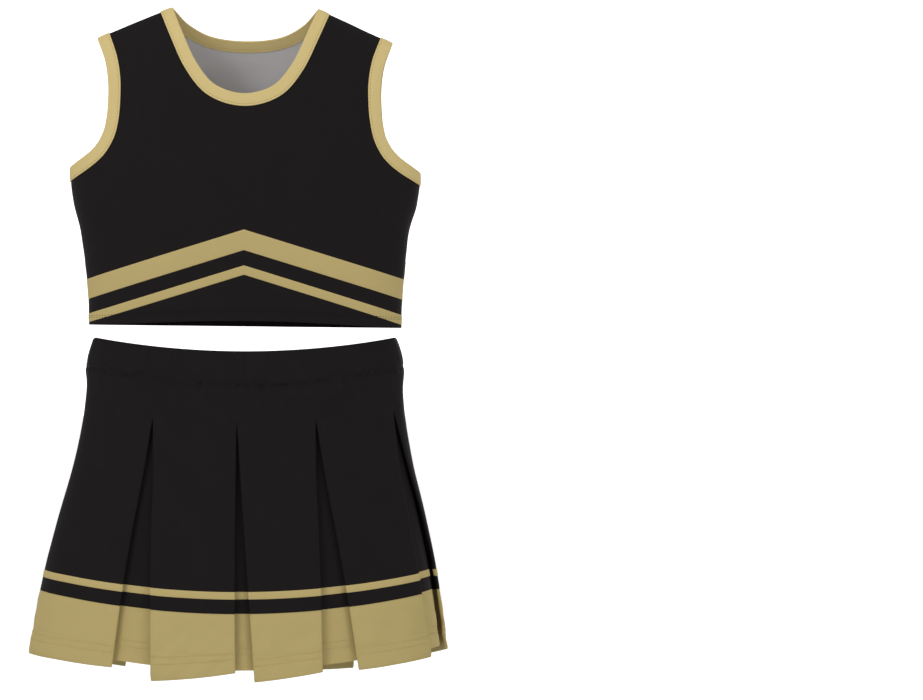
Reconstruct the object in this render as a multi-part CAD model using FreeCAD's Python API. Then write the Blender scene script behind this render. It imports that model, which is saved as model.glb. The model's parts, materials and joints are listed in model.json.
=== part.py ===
"""A two-piece cheer uniform: a sleeveless crop top above a box-pleated skirt, both open as if worn.

Millimetres. +Z is up, -Y is the front and +X is the wearer's left. The origin is the centre of the waist
opening, level with the waistband's top edge at the side seams. Every cloth piece is a closed solid between
two surfaces, an outer face and one a cloth thickness inside it.
"""
import FreeCAD, Part
import math
import os
from FreeCAD import Vector

# ---- Cloth ----
CLOTH = 1.2  # double-knit body cloth
BRAID = 0.6  # flat gold braid sewn on the cloth
BINDING_WRAP = 0.8  # how far a folded binding stands out on each side of the cloth edge that it wraps
TAPE = 0.8  # shoulder tape
TAPE_HALF_WIDTH = 7.0
SEAM_GAP = 0.3  # clearance between pieces that aren't sewn together

# ---- The cross-section that both garments share ----
ROUNDNESS = 2.4  # exponent of the superellipse; 2 is an ellipse
SPREAD_RATIO = 0.36  # depth over width at which points along the ring are evenly spaced
RING_STEPS = 3000

# ---- Skirt, measured down from the waistband's top edge at the side seams ----
BAND_HEIGHT = 27.0
RELEASE_DROP = 75.0  # where the stitched-down pleats are released
STRIPE_DROP = 220.0
STRIPE_WIDTH = 6.5
HEM_BAND_DROP = 239.0  # top of the wide gold hem band
SKIRT_LENGTH = 294.0
#                 drop, half-width, half-depth, extra drop at the centre front and back
SKIRT_STATIONS = [
    (0.0, 144.0, 44.0, 13.0),
    (BAND_HEIGHT, 151.0, 48.0, 17.0),
    (50.0, 150.5, 49.0, 16.0),
    (RELEASE_DROP, 153.0, 51.0, 14.0),
    (120.0, 161.5, 57.0, 15.0),
    (168.0, 174.0, 66.0, 17.5),
    (STRIPE_DROP, 186.0, 75.0, 20.0),
    (SKIRT_LENGTH, 200.0, 87.0, 27.0),
]
WAISTBAND_WALL = 1.0
ELASTIC = 2.0
ELASTIC_ROOM = 0.2  # clearance around the elastic in its casing
PANEL_THICKNESS = 3.0  # a pleat panel and the returns folded behind it
PLEAT_DEPTH = 31.0  # how far an underlay runs behind the panel on each side
PLEAT_SLIT = 1.2  # opening between two panels at the release line
RECESS_TOP = 5.8  # how far an underlay lies inside the skirt's face at the release line
RECESS_HEM = 10.0
#         name, place at the release line, place at the hem, opening at the hem.
# A place is in quarter turns round the ring from the centre front towards the wearer's left.
PLEATS = [
    ("centre_front", -0.035, 0.034, 18.0),
    ("front_left", 0.394, 0.428, 35.0),
    ("side_left", 0.850, 0.934, 58.0),
    ("back_left", 1.433, 1.478, 22.0),
    ("centre_back", 1.898, 1.951, 38.0),
    ("back_right", 2.350, 2.421, 29.0),
    ("side_right", 2.920, 2.960, 58.0),
    ("front_right", 3.507, 3.568, 38.0),
]
#         the panel on the wearer's-left side of each pleat above, in the same order
PANELS = [
    "front_left",
    "side_front_left",
    "side_back_left",
    "back_left",
    "back_right",
    "side_back_right",
    "side_front_right",
    "front_right",
]

# ---- Crop top ----
TOP_GAP = 10.5  # from the waistband up to the top's hem at the side seams
FRONT_HEM_RISE = 4.9  # how much higher the front hem is at its centre
NECK_POINT_HEIGHT = 302.5  # from the hem up to the shoulder seam at the neck
NECK_POINT_HALF_WIDTH = 70.4
SHOULDER_SLOPE = 0.46
SHOULDER_ROUNDING = 25.0  # keeps the shoulder line smooth across the neck, where it is cut away
CHEST_SHARE = 0.45  # share of the height below which the top keeps its full depth
SIDE_SEAM_SHARE = 0.64  # share of the height up to which the cloth is drawn as far as the side seam
SHOULDER_REACH = 0.80  # in quarter turns, past the shoulder's tip
SHOULDER_TURN = 82.0  # degrees by which the cloth leans back on the way from the chest to the shoulder seam
SEAM_OVERRUN = 0.02  # share of the height drawn past the shoulder seam, and trimmed there
TOP_HALF_DEPTH_HEM = 46.0
TOP_HALF_DEPTH_CHEST = 54.0
#             height above the hem, half-width
TOP_STATIONS = [(0.0, 149.0), (45.0, 150.5), (102.0, 156.0), (136.0, 163.0), (170.0, 166.0), (330.0, 166.0)]
BINDING = 11.4  # width of the armhole binding
NECK_BINDING_FRONT = 11.0
NECK_BINDING_BACK = 10.0
# Free edges of the openings, from the shoulder line down, as (x, drop below the neck point)
ARMHOLE_EDGE = [(139.5, 30.5), (131.0, 54.5), (128.2, 80.5), (131.5, 115.5), (141.5, 135.5), (164.8, 154.0)]
NECK_EDGE_FRONT = [(NECK_POINT_HALF_WIDTH, 0.0), (60.0, 24.5), (46.0, 54.0), (28.0, 75.0), (0.0, 83.2)]
NECK_EDGE_BACK = [(NECK_POINT_HALF_WIDTH, 0.0), (55.0, 16.0), (33.0, 27.3), (0.0, 31.2)]
CHEVRON_SLOPE = 0.31
WIDE_CHEVRON = 19.4
NARROW_CHEVRON = 8.8
CHEVRON_SPACING = 14.5  # black cloth showing between the two
FRONT_CHEVRON_PEAK = 91.5  # top of the wide chevron at the centre, above the hem
BACK_CHEVRON_PEAK = 109.5
TAPE_END_GAP = (3.0, 4.1)  # from the neck binding and from the armhole binding

FAR = 400.0  # reach of a cutting prism
OVERSHOOT = 20.0  # how far a cutting outline runs past the cloth that it cuts


# ---- Curves ----
def smooth(stations, x):
    """A smooth curve through (x, value) stations, with each slope taken from its neighbours."""
    n = len(stations)
    x = min(max(x, stations[0][0]), stations[-1][0])
    i = max(j for j in range(n - 1) if stations[j][0] <= x or j == 0)
    slopes = []
    for j in (i, i + 1):
        lo, hi = max(j - 1, 0), min(j + 1, n - 1)
        slopes.append((stations[hi][1] - stations[lo][1]) / (stations[hi][0] - stations[lo][0]))
    (x0, y0), (x1, y1) = stations[i], stations[i + 1]
    span = x1 - x0
    t = (x - x0) / span
    return (
        y0 * (2 * t**3 - 3 * t**2 + 1)
        + slopes[0] * span * (t**3 - 2 * t**2 + t)
        + y1 * (3 * t**2 - 2 * t**3)
        + slopes[1] * span * (t**3 - t**2)
    )


def unit_quarter():
    """Points of the unit superellipse's first quarter, front to side, each with its share of the length."""
    points, lengths = [], [0.0]
    for i in range(RING_STEPS + 1):
        angle = math.pi / 2 * i / RING_STEPS
        s, c = math.sin(angle), max(math.cos(angle), 0.0)
        radius = (s**ROUNDNESS + (c / SPREAD_RATIO) ** ROUNDNESS) ** (-1 / ROUNDNESS)
        points.append((radius * s, radius * c / SPREAD_RATIO))
    for (x0, y0), (x1, y1) in zip(points, points[1:]):
        lengths.append(lengths[-1] + math.hypot(x1 - x0, (y1 - y0) * SPREAD_RATIO))
    return points, [length / lengths[-1] for length in lengths]


QUARTER_POINTS, QUARTER_SHARES = unit_quarter()


def quarter(share):
    """The point at that share of the unit quarter's length."""
    lo, hi = 0, RING_STEPS
    while hi - lo > 1:
        mid = (lo + hi) // 2
        if QUARTER_SHARES[mid] <= share:
            lo = mid
        else:
            hi = mid
    t = (share - QUARTER_SHARES[lo]) / (QUARTER_SHARES[hi] - QUARTER_SHARES[lo])
    (x0, y0), (x1, y1) = QUARTER_POINTS[lo], QUARTER_POINTS[hi]
    return x0 + t * (x1 - x0), y0 + t * (y1 - y0)


def ring(turns):
    """Unit (x, forward) at that many quarter turns from the centre front towards +X."""
    turns %= 4
    if turns <= 1:
        x, forward = quarter(turns)
        return x, forward
    if turns <= 2:
        x, forward = quarter(2 - turns)
        return x, -forward
    if turns <= 3:
        x, forward = quarter(turns - 2)
        return -x, -forward
    x, forward = quarter(4 - turns)
    return -x, forward


def spread(low, high, count):
    return [low + (high - low) * i / count for i in range(count + 1)]


# ---- Solids ----
def surface(points):
    made = Part.BSplineSurface()
    made.interpolate(points)
    return made


def solid_of_faces(faces):
    shell = Part.makeShell(faces)
    shell.sewShape()
    solid = Part.makeSolid(Part.Shell(shell.Faces))
    if solid.Volume < 0:
        solid.reverse()
    return solid


def cloth_solid(point, across, up, outer, inner, counts):
    """The closed solid between point(u, v, outer) and point(u, v, inner), for u in across and v in up.
    The four borders may be functions of v, so that a piece can widen towards its hem."""
    rows = []
    for v in spread(0.0, 1.0, counts[1]):
        height = up[0] + (up[1] - up[0]) * v
        left, right = (edge(height) if callable(edge) else edge for edge in across)
        rows.append([(u, height) for u in spread(left, right, counts[0])])
    grids = []
    for depth in (outer, inner):
        depths = [depth(row[0][1]) if callable(depth) else depth for row in rows]
        grids.append([[point(u, h, d) for u, h in row] for row, d in zip(rows, depths)])
    skins = [surface(grid) for grid in grids]
    faces = [skin.toShape() for skin in skins]
    bounds = [skin.bounds() for skin in skins]
    for k in (0, 1):
        edges = [skin.uIso(bound[k]).toShape() for skin, bound in zip(skins, bounds)]
        faces.append(Part.makeRuledSurface(*edges))
        edges = [skin.vIso(bound[k + 2]).toShape() for skin, bound in zip(skins, bounds)]
        faces.append(Part.makeRuledSurface(*edges))
    return solid_of_faces(faces)


# ---- Skirt surface ----
def skirt_value(column, drop):
    return smooth([(station[0], station[column]) for station in SKIRT_STATIONS], drop)


def skirt_point(turns, drop, depth):
    """A point of the skirt, at quarter turns round it, a drop below the waist and a depth inside its face."""
    a, b, dip = (skirt_value(column, drop) for column in (1, 2, 3))
    x, forward = ring(turns)
    nx = math.copysign(abs(x) ** (ROUNDNESS - 1) / a, x)
    ny = math.copysign(abs(forward) ** (ROUNDNESS - 1) / b, -forward)
    size = math.hypot(nx, ny)
    return Vector(a * x - depth * nx / size, -b * forward - depth * ny / size, -drop - dip * (1 - x * x))


def turns_of(width, turns, drop):
    """How many quarter turns a width along the ring takes near that place."""
    step = 0.01
    span = (skirt_point(turns + step, drop, 0) - skirt_point(turns - step, drop, 0)).Length
    return width * 2 * step / span


def released(drop):
    """Share of the way from the release line to the hem."""
    return (drop - RELEASE_DROP) / (SKIRT_LENGTH - RELEASE_DROP)


def pleat_edge(index, side, reach=0.0):
    """The edge of a pleat's opening as a function of the drop: side -1 or +1, moved outwards by reach."""
    name, top, hem, opening = PLEATS[index % len(PLEATS)]
    lap = 4.0 * (index // len(PLEATS))

    def edge(drop):
        share = released(drop)
        centre = top + (hem - top) * share + lap
        half = (PLEAT_SLIT + (opening - PLEAT_SLIT) * share) / 2 + reach
        return centre + side * turns_of(half, centre, drop)

    return edge


# ---- Skirt pieces ----
def waistband(start):
    """One half of the folded band: two walls joined at the top and open below, over the elastic."""
    casing = 2 * WAISTBAND_WALL + ELASTIC + 2 * ELASTIC_ROOM
    half = (start, start + 2)
    block = cloth_solid(skirt_point, half, (0.0, BAND_HEIGHT), 0.0, casing, (28, 3))
    wider = (start - 0.05, start + 2.05)
    room = (WAISTBAND_WALL, BAND_HEIGHT + OVERSHOOT)
    hollow = cloth_solid(skirt_point, wider, room, WAISTBAND_WALL, casing - WAISTBAND_WALL, (28, 4))
    return block.cut(hollow)


def waist_elastic():
    outer = WAISTBAND_WALL + ELASTIC_ROOM
    span = (WAISTBAND_WALL + ELASTIC_ROOM, BAND_HEIGHT)
    halves = [cloth_solid(skirt_point, (q, q + 2), span, outer, outer + ELASTIC, (28, 3)) for q in (-1, 1)]
    return halves[0].fuse(halves[1]).removeSplitter()


def yoke(start):
    """The hip part, where the pleats are stitched down."""
    span = (BAND_HEIGHT, RELEASE_DROP)
    return cloth_solid(skirt_point, (start, start + 2), span, 0.0, PANEL_THICKNESS, (28, 5))


def panel_span(index):
    return pleat_edge(index, 1), pleat_edge(index + 1, -1)


def panel(index):
    span = (RELEASE_DROP + SEAM_GAP * 2, HEM_BAND_DROP)
    return cloth_solid(skirt_point, panel_span(index), span, 0.0, PANEL_THICKNESS, (12, 8))


def panel_stripe(index):
    span = (STRIPE_DROP, STRIPE_DROP + STRIPE_WIDTH)
    return cloth_solid(skirt_point, panel_span(index), span, -BRAID, 0.0, (12, 3))


def panel_hem(index):
    span = (HEM_BAND_DROP, SKIRT_LENGTH)
    return cloth_solid(skirt_point, panel_span(index), span, 0.0, PANEL_THICKNESS, (12, 4))


def recess(drop):
    """How far an underlay's face lies inside the skirt's face."""
    return RECESS_TOP + (RECESS_HEM - RECESS_TOP) * released(drop)


def underlay_piece(index, span, rows):
    across = pleat_edge(index, -1, PLEAT_DEPTH), pleat_edge(index, 1, PLEAT_DEPTH)
    return cloth_solid(skirt_point, across, span, recess, lambda drop: recess(drop) + CLOTH, (12, rows))


def underlay_stripe(index):
    across = pleat_edge(index, -1), pleat_edge(index, 1)
    span = (STRIPE_DROP, STRIPE_DROP + STRIPE_WIDTH)
    return cloth_solid(skirt_point, across, span, lambda drop: recess(drop) - BRAID, recess, (8, 3))


# ---- Top surface ----
def top_profile(rise):
    """(share of the height, share of the depth) at a rise from 0, the hem, to 1, the shoulder line."""
    if rise <= CHEST_SHARE:
        depth = smooth([(0.0, TOP_HALF_DEPTH_HEM / TOP_HALF_DEPTH_CHEST), (CHEST_SHARE, 1.0)], rise)
        return rise, depth
    climbed = (rise - CHEST_SHARE) / (1 - CHEST_SHARE)
    angle = math.radians(SHOULDER_TURN) * climbed
    last = math.radians(SHOULDER_TURN)
    depth = math.cos(angle) - math.cos(last) * climbed
    return CHEST_SHARE + (1 - CHEST_SHARE) * math.sin(angle) / math.sin(last), depth


def shoulder_height(x):
    """Height of the shoulder line above the hem."""
    out = math.hypot(x, SHOULDER_ROUNDING) - math.hypot(NECK_POINT_HALF_WIDTH, SHOULDER_ROUNDING)
    return NECK_POINT_HEIGHT - SHOULDER_SLOPE * out


def top_face(turns, rise):
    x, forward = ring(turns)
    share, depth = top_profile(rise)
    half_width = smooth(TOP_STATIONS, share * NECK_POINT_HEIGHT)
    hem = FRONT_HEM_RISE * (1 - x * x) * max(forward, 0.0) ** 2
    height = hem + share * (shoulder_height(half_width * x) - hem)
    return Vector(half_width * x, -TOP_HALF_DEPTH_CHEST * depth * forward, TOP_GAP + height)


def top_point(turns, rise, depth):
    """A point of the top, at quarter turns round it and a rise above its hem, a depth inside its face."""
    step = 1e-3
    along = top_face(turns + step, rise) - top_face(turns - step, rise)
    low = max(rise - step, 0.0)
    up = top_face(turns, rise + step) - top_face(turns, low)
    return top_face(turns, rise) - along.cross(up).normalize() * depth


def half_turns(rise):
    """How far a half of the top reaches from its centre: to the side seam, and less above the underarm."""
    t = max(0.0, (rise - SIDE_SEAM_SHARE) / (1 - SIDE_SEAM_SHARE))
    return 1 - (1 - SHOULDER_REACH) * t * t * (3 - 2 * t)


def top_layer(start, outer, inner):
    """A whole half of the top, from hem to shoulder seam, before its openings are cut."""
    across = [lambda rise, side=side: start + 1 + side * half_turns(rise) for side in (-1, 1)]
    whole = cloth_solid(top_point, across, (0.0, 1 + SEAM_OVERRUN), outer, inner, (36, 18))
    corner = Vector(-FAR, -FAR if start < 0 else 0, 0)
    return whole.common(Part.makeBox(2 * FAR, FAR, 2 * FAR, corner))


# ---- Outlines, in the XZ plane and extruded along Y ----
def edge_curve(points):
    curve = Part.BSplineCurve()
    curve.interpolate([Vector(x, 0, TOP_GAP + z) for x, z in points])
    return curve


def moved_edge(points, width):
    """The edge moved sideways by width, to the right of its direction."""
    curve = edge_curve(points)
    moved = []
    for t in spread(curve.FirstParameter, curve.LastParameter, 12):
        tangent, place = curve.tangent(t)[0], curve.value(t)
        moved.append((place.x + tangent.z * width, place.z - TOP_GAP - tangent.x * width))
    return moved


def prism(outline, low_y=-FAR, high_y=FAR):
    """The outline, a closed list of (x, height above the hem), as a prism along Y."""
    corners = [Vector(x, low_y, TOP_GAP + z) for x, z in outline]
    face = Part.Face(Part.makePolygon(corners + corners[:1]))
    return face.extrude(Vector(0, high_y - low_y, 0))


def carried_on(tip, inside):
    """The point an overshoot beyond the tip, in line with the point inside it."""
    dx, dz = tip[0] - inside[0], tip[1] - inside[1]
    stretch = OVERSHOOT / math.hypot(dx, dz)
    return tip[0] + dx * stretch, tip[1] + dz * stretch


def opening_prism(points, width, close):
    """A prism of the opening within an edge moved by width. close(start, end) gives its other corners."""
    edge = moved_edge(points, width) if width else points
    edge = [carried_on(edge[0], edge[1])] + edge + [carried_on(edge[-1], edge[-2])]
    curve = edge_curve(edge)
    curve.translate(Vector(0, -FAR, 0))
    corners = [edge[-1]] + close(edge[0], edge[-1]) + [edge[0]]
    corners = [Vector(x, -FAR, TOP_GAP + z) for x, z in corners]
    edges = [curve.toShape()] + [Part.makeLine(p, q) for p, q in zip(corners, corners[1:])]
    face = Part.Face(Part.Wire(edges))
    return face.extrude(Vector(0, 2 * FAR, 0))


def mirrored(shape):
    return shape.mirror(Vector(0, 0, 0), Vector(1, 0, 0))


def above_hem(points):
    """Points given as drops below the neck point, as (x, height above the hem)."""
    return [(x, NECK_POINT_HEIGHT - drop) for x, drop in points]


def neck_prism(points, width):
    """The neck opening, widened by width, as a prism that runs past the shoulder line."""
    high = NECK_POINT_HEIGHT + 2 * OVERSHOOT
    whole = [(-x, z) for x, z in points] + points[-2::-1]
    return opening_prism(whole, width, lambda start, end: [(end[0], high), (start[0], high)])


def armhole_prism(width):
    """The wearer's-left armhole, widened by width, as a prism that runs past the shoulder and the side."""
    beyond = ARMHOLE_EDGE[-1][0] + 3 * OVERSHOOT
    edge = above_hem(ARMHOLE_EDGE)
    return opening_prism(edge, width, lambda start, end: [(beyond, end[1]), (beyond, start[1])])


# ---- Top pieces ----
def neck_of(start):
    if start < 0:
        return above_hem(NECK_EDGE_FRONT), NECK_BINDING_FRONT
    return above_hem(NECK_EDGE_BACK), NECK_BINDING_BACK


def body_panel(start):
    arm = armhole_prism(BINDING)
    cloth = top_layer(start, 0.0, CLOTH).cut(neck_prism(*neck_of(start)))
    return cloth.cut(arm).cut(mirrored(arm))


def binding(start, wide, edge):
    """Folded over the cloth: all of its layer that lies inside the wide prism and outside the edge's."""
    return top_layer(start, -BINDING_WRAP, CLOTH + BINDING_WRAP).common(wide).cut(edge)


def neck_binding(start):
    edge, width = neck_of(start)
    return binding(start, neck_prism(edge, width), neck_prism(edge, 0.0))


def armhole_binding():
    """The wearer's-left binding: one loop, joined at the shoulder and the underarm."""
    halves = [binding(start, armhole_prism(BINDING), armhole_prism(0.0)) for start in (-1, 1)]
    return halves[0].fuse(halves[1]).removeSplitter()


def chevron(start, peak, width):
    """One braid, mitred at the centre and running to both side seams."""
    reach = TOP_STATIONS[-1][1] + OVERSHOOT
    outline = []
    for top in (peak, peak - width):
        side = top - CHEVRON_SLOPE * reach
        outline.append([(-reach, side), (0.0, top), (reach, side)])
    return top_layer(start, -BRAID, 0.0).common(prism(outline[0] + outline[1][::-1]))


def shoulder_tape():
    """Stay tape over the wearer's-left shoulder seam, inside the cloth."""
    low = NECK_POINT_HALF_WIDTH + max(NECK_BINDING_FRONT, NECK_BINDING_BACK) + TAPE_END_GAP[0]
    high = ARMHOLE_EDGE[0][0] - BINDING - TAPE_END_GAP[1]
    tall = NECK_POINT_HEIGHT + OVERSHOOT
    outline = [(low, 0.0), (high, 0.0), (high, tall), (low, tall)]
    strip = prism(outline, -TAPE_HALF_WIDTH, TAPE_HALF_WIDTH)
    halves = [top_layer(start, CLOTH, CLOTH + TAPE).common(strip) for start in (-1, 1)]
    return halves[0].fuse(halves[1]).removeSplitter()


# ---- The two garments ----
def export(name, shape):
    solids = shape.Solids
    if not solids or not all(s.isValid() and s.isClosed() and s.Volume > 0 for s in solids):
        raise ValueError(f"{name} isn't one or more closed solids")
    kept = solids[0] if len(solids) == 1 else Part.makeCompound(solids)
    kept.exportStep(f"parts/{name}.step")
    print(f"{name}: {len(solids)} solid, {kept.Volume / 1000:.2f} cm3")


def build_skirt():
    for name, start in (("front", -1), ("back", 1)):
        export(f"waistband_{name}", waistband(start))
        export(f"skirt_yoke_{name}", yoke(start))
    export("waist_elastic", waist_elastic())
    for index, name in enumerate(PANELS):
        export(f"panel_{name}", panel(index))
        export(f"panel_stripe_{name}", panel_stripe(index))
        export(f"panel_hem_{name}", panel_hem(index))
    for index, (name, *_) in enumerate(PLEATS):
        cloth = underlay_piece(index, (RELEASE_DROP + SEAM_GAP * 2, HEM_BAND_DROP), 8)
        export(f"underlay_{name}", cloth)
        hem = underlay_piece(index, (HEM_BAND_DROP, SKIRT_LENGTH), 4)
        export(f"underlay_trim_{name}", Part.makeCompound([hem, underlay_stripe(index)]))


def build_top():
    peaks = {"front": FRONT_CHEVRON_PEAK, "back": BACK_CHEVRON_PEAK}
    for name, start in (("front", -1), ("back", 1)):
        export(f"top_{name}_panel", body_panel(start))
        export(f"neck_binding_{name}", neck_binding(start))
        export(f"wide_chevron_{name}", chevron(start, peaks[name], WIDE_CHEVRON))
        below = peaks[name] - WIDE_CHEVRON - CHEVRON_SPACING
        export(f"narrow_chevron_{name}", chevron(start, below, NARROW_CHEVRON))
    for name, make in (("armhole_binding", armhole_binding), ("shoulder_tape", shoulder_tape)):
        shape = make()
        export(f"{name}_left", shape)
        export(f"{name}_right", mirrored(shape))


os.makedirs("parts", exist_ok=True)
build_skirt()
build_top()
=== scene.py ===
# %% [markdown]
# # A cheer uniform in black and gold
#
# Two garments stand open, as if worn: a sleeveless crop top, and a skirt with eight box pleats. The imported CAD
# model gives every piece its place and says what moves: each pleat swings out from its release line, and the
# top lifts off. Here the plain solids become cloth, with folds at the pleats, bound edges and stitches.
# %% Load the frame
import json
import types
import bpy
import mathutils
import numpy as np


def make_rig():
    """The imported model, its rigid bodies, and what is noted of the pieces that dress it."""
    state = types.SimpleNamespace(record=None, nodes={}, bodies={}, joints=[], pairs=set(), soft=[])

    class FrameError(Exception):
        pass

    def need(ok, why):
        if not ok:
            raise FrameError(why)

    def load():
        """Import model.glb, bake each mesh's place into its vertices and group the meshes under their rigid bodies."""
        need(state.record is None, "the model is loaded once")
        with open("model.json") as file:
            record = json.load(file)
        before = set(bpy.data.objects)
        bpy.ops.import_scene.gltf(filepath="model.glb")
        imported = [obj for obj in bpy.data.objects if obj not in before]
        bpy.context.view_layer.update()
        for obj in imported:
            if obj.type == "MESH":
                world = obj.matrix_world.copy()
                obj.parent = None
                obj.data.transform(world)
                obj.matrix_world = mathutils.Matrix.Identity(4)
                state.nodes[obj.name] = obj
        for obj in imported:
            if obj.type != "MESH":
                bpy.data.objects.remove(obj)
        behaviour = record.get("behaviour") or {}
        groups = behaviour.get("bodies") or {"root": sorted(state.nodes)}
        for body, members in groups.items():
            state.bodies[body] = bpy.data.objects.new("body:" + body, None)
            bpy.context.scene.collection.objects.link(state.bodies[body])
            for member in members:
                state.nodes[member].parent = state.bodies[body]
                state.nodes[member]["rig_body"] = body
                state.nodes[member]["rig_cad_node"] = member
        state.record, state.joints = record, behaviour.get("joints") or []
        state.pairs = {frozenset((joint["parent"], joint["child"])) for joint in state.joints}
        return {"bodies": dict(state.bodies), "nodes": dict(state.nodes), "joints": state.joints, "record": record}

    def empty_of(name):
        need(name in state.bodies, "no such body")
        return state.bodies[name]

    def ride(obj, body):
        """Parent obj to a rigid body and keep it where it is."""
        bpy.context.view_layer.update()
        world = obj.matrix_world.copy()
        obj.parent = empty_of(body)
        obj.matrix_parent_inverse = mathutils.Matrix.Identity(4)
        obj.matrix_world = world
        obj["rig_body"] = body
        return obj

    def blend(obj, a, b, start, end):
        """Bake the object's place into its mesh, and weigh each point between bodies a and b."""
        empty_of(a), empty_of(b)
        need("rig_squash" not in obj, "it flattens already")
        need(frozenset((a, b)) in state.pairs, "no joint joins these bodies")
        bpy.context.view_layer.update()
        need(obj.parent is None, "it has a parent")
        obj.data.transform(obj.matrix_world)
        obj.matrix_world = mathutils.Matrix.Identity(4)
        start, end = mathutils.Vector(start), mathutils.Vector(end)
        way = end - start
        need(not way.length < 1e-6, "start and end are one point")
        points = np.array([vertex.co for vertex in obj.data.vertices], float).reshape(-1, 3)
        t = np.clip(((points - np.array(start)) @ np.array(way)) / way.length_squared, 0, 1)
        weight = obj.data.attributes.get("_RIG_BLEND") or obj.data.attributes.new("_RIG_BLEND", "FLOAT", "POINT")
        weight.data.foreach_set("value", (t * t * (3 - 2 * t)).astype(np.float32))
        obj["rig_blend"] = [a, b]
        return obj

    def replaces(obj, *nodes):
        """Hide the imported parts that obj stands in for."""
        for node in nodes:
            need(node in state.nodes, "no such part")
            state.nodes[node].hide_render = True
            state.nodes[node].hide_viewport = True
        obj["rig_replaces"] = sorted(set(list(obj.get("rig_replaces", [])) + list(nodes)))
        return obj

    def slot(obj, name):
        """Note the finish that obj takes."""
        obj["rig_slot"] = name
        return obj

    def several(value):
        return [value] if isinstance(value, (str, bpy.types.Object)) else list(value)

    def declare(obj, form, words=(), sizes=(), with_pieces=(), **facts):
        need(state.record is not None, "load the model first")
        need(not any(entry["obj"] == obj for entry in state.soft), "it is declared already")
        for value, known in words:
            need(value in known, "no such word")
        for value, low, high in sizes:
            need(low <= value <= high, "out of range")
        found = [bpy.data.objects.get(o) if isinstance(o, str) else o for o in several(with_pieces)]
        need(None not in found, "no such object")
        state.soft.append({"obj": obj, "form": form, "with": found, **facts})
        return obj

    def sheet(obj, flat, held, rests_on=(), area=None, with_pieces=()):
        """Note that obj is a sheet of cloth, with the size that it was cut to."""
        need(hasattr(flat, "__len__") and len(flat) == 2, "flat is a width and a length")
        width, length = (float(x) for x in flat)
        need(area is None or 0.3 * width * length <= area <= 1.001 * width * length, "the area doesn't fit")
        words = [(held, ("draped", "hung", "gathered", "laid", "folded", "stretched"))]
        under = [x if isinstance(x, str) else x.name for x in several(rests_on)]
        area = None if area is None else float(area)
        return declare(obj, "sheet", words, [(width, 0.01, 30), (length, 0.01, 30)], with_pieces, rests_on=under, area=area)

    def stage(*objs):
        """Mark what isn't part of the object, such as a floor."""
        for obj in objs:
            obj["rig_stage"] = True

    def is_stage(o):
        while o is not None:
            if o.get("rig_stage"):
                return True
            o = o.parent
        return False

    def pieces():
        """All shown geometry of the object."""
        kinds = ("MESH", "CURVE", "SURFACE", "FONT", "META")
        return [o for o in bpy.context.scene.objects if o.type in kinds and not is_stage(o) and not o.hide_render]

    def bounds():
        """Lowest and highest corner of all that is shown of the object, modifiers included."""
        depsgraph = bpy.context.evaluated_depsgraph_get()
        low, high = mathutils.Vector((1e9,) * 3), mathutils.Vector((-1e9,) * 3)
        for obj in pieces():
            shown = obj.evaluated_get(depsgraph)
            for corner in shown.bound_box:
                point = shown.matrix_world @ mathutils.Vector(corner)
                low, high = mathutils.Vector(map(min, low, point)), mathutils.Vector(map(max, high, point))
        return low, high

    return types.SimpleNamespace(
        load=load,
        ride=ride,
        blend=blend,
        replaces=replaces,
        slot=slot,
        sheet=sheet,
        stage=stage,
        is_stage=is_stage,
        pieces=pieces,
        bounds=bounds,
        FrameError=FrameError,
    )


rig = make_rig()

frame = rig.load()
import bmesh
import bpy
import json
import math
import mathutils
import numpy as np
from mathutils.geometry import delaunay_2d_cdt

cad_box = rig.bounds()
MM = 0.001
print("CAD box in metres:", [round(v, 4) for corner in cad_box for v in corner])

# %% [markdown]
# ## The form that both garments share
#
# Cloth needs a surface to lie on before it can have folds. A body's cross-section is flatter than an ellipse in
# front and rounder at the sides, and a superellipse does that with one exponent. It could be a sculpted mesh,
# but a formula lets each panel and stripe find its own place. A place on the ring is counted in quarter turns:
# 0 is the centre front, 1 the wearer's left side, 2 the centre back and 3 the right side.
# %% Cross-section
ROUNDNESS = 2.4
SPREAD_RATIO = 0.36

sweep = np.linspace(0, math.pi / 2, 3001)
reach = (np.sin(sweep) ** ROUNDNESS + (np.cos(sweep).clip(0) / SPREAD_RATIO) ** ROUNDNESS) ** (-1 / ROUNDNESS)
quarter_x, quarter_forward = reach * np.sin(sweep), reach * np.cos(sweep).clip(0) / SPREAD_RATIO
steps = np.hypot(np.diff(quarter_x), np.diff(quarter_forward) * SPREAD_RATIO)
quarter_share = np.concatenate([[0], np.cumsum(steps)])
quarter_share /= quarter_share[-1]


def ring(turns):
    """Unit (x, forward) at that many quarter turns from the centre front."""
    turns = np.mod(turns, 4.0)
    part = turns - np.floor(turns)
    part = np.where(np.floor(turns) % 2 == 1, 1 - part, part)
    x = np.interp(part, quarter_share, quarter_x) * np.where(turns < 2, 1, -1)
    forward = np.interp(part, quarter_share, quarter_forward) * np.where((turns < 1) | (turns >= 3), 1, -1)
    return x, forward


print("a quarter of the ring is drawn from", len(sweep), "points")

# %% Curves and waves
def smooth(stations, x):
    """A smooth curve through (x, value) rows."""
    xs, ys = np.array(stations, float).T
    x = np.clip(x, xs[0], xs[-1])
    i = np.clip(np.searchsorted(xs, x, side="right") - 1, 0, len(xs) - 2)
    low, high = np.maximum(np.arange(len(xs)) - 1, 0), np.minimum(np.arange(len(xs)) + 1, len(xs) - 1)
    slope = (ys[high] - ys[low]) / (xs[high] - xs[low])
    span = xs[i + 1] - xs[i]
    t = (x - xs[i]) / span
    a = ys[i] * (2 * t**3 - 3 * t**2 + 1) + slope[i] * span * (t**3 - 2 * t**2 + t)
    return a + ys[i + 1] * (3 * t**2 - 2 * t**3) + slope[i + 1] * span * (t**3 - t**2)


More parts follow.
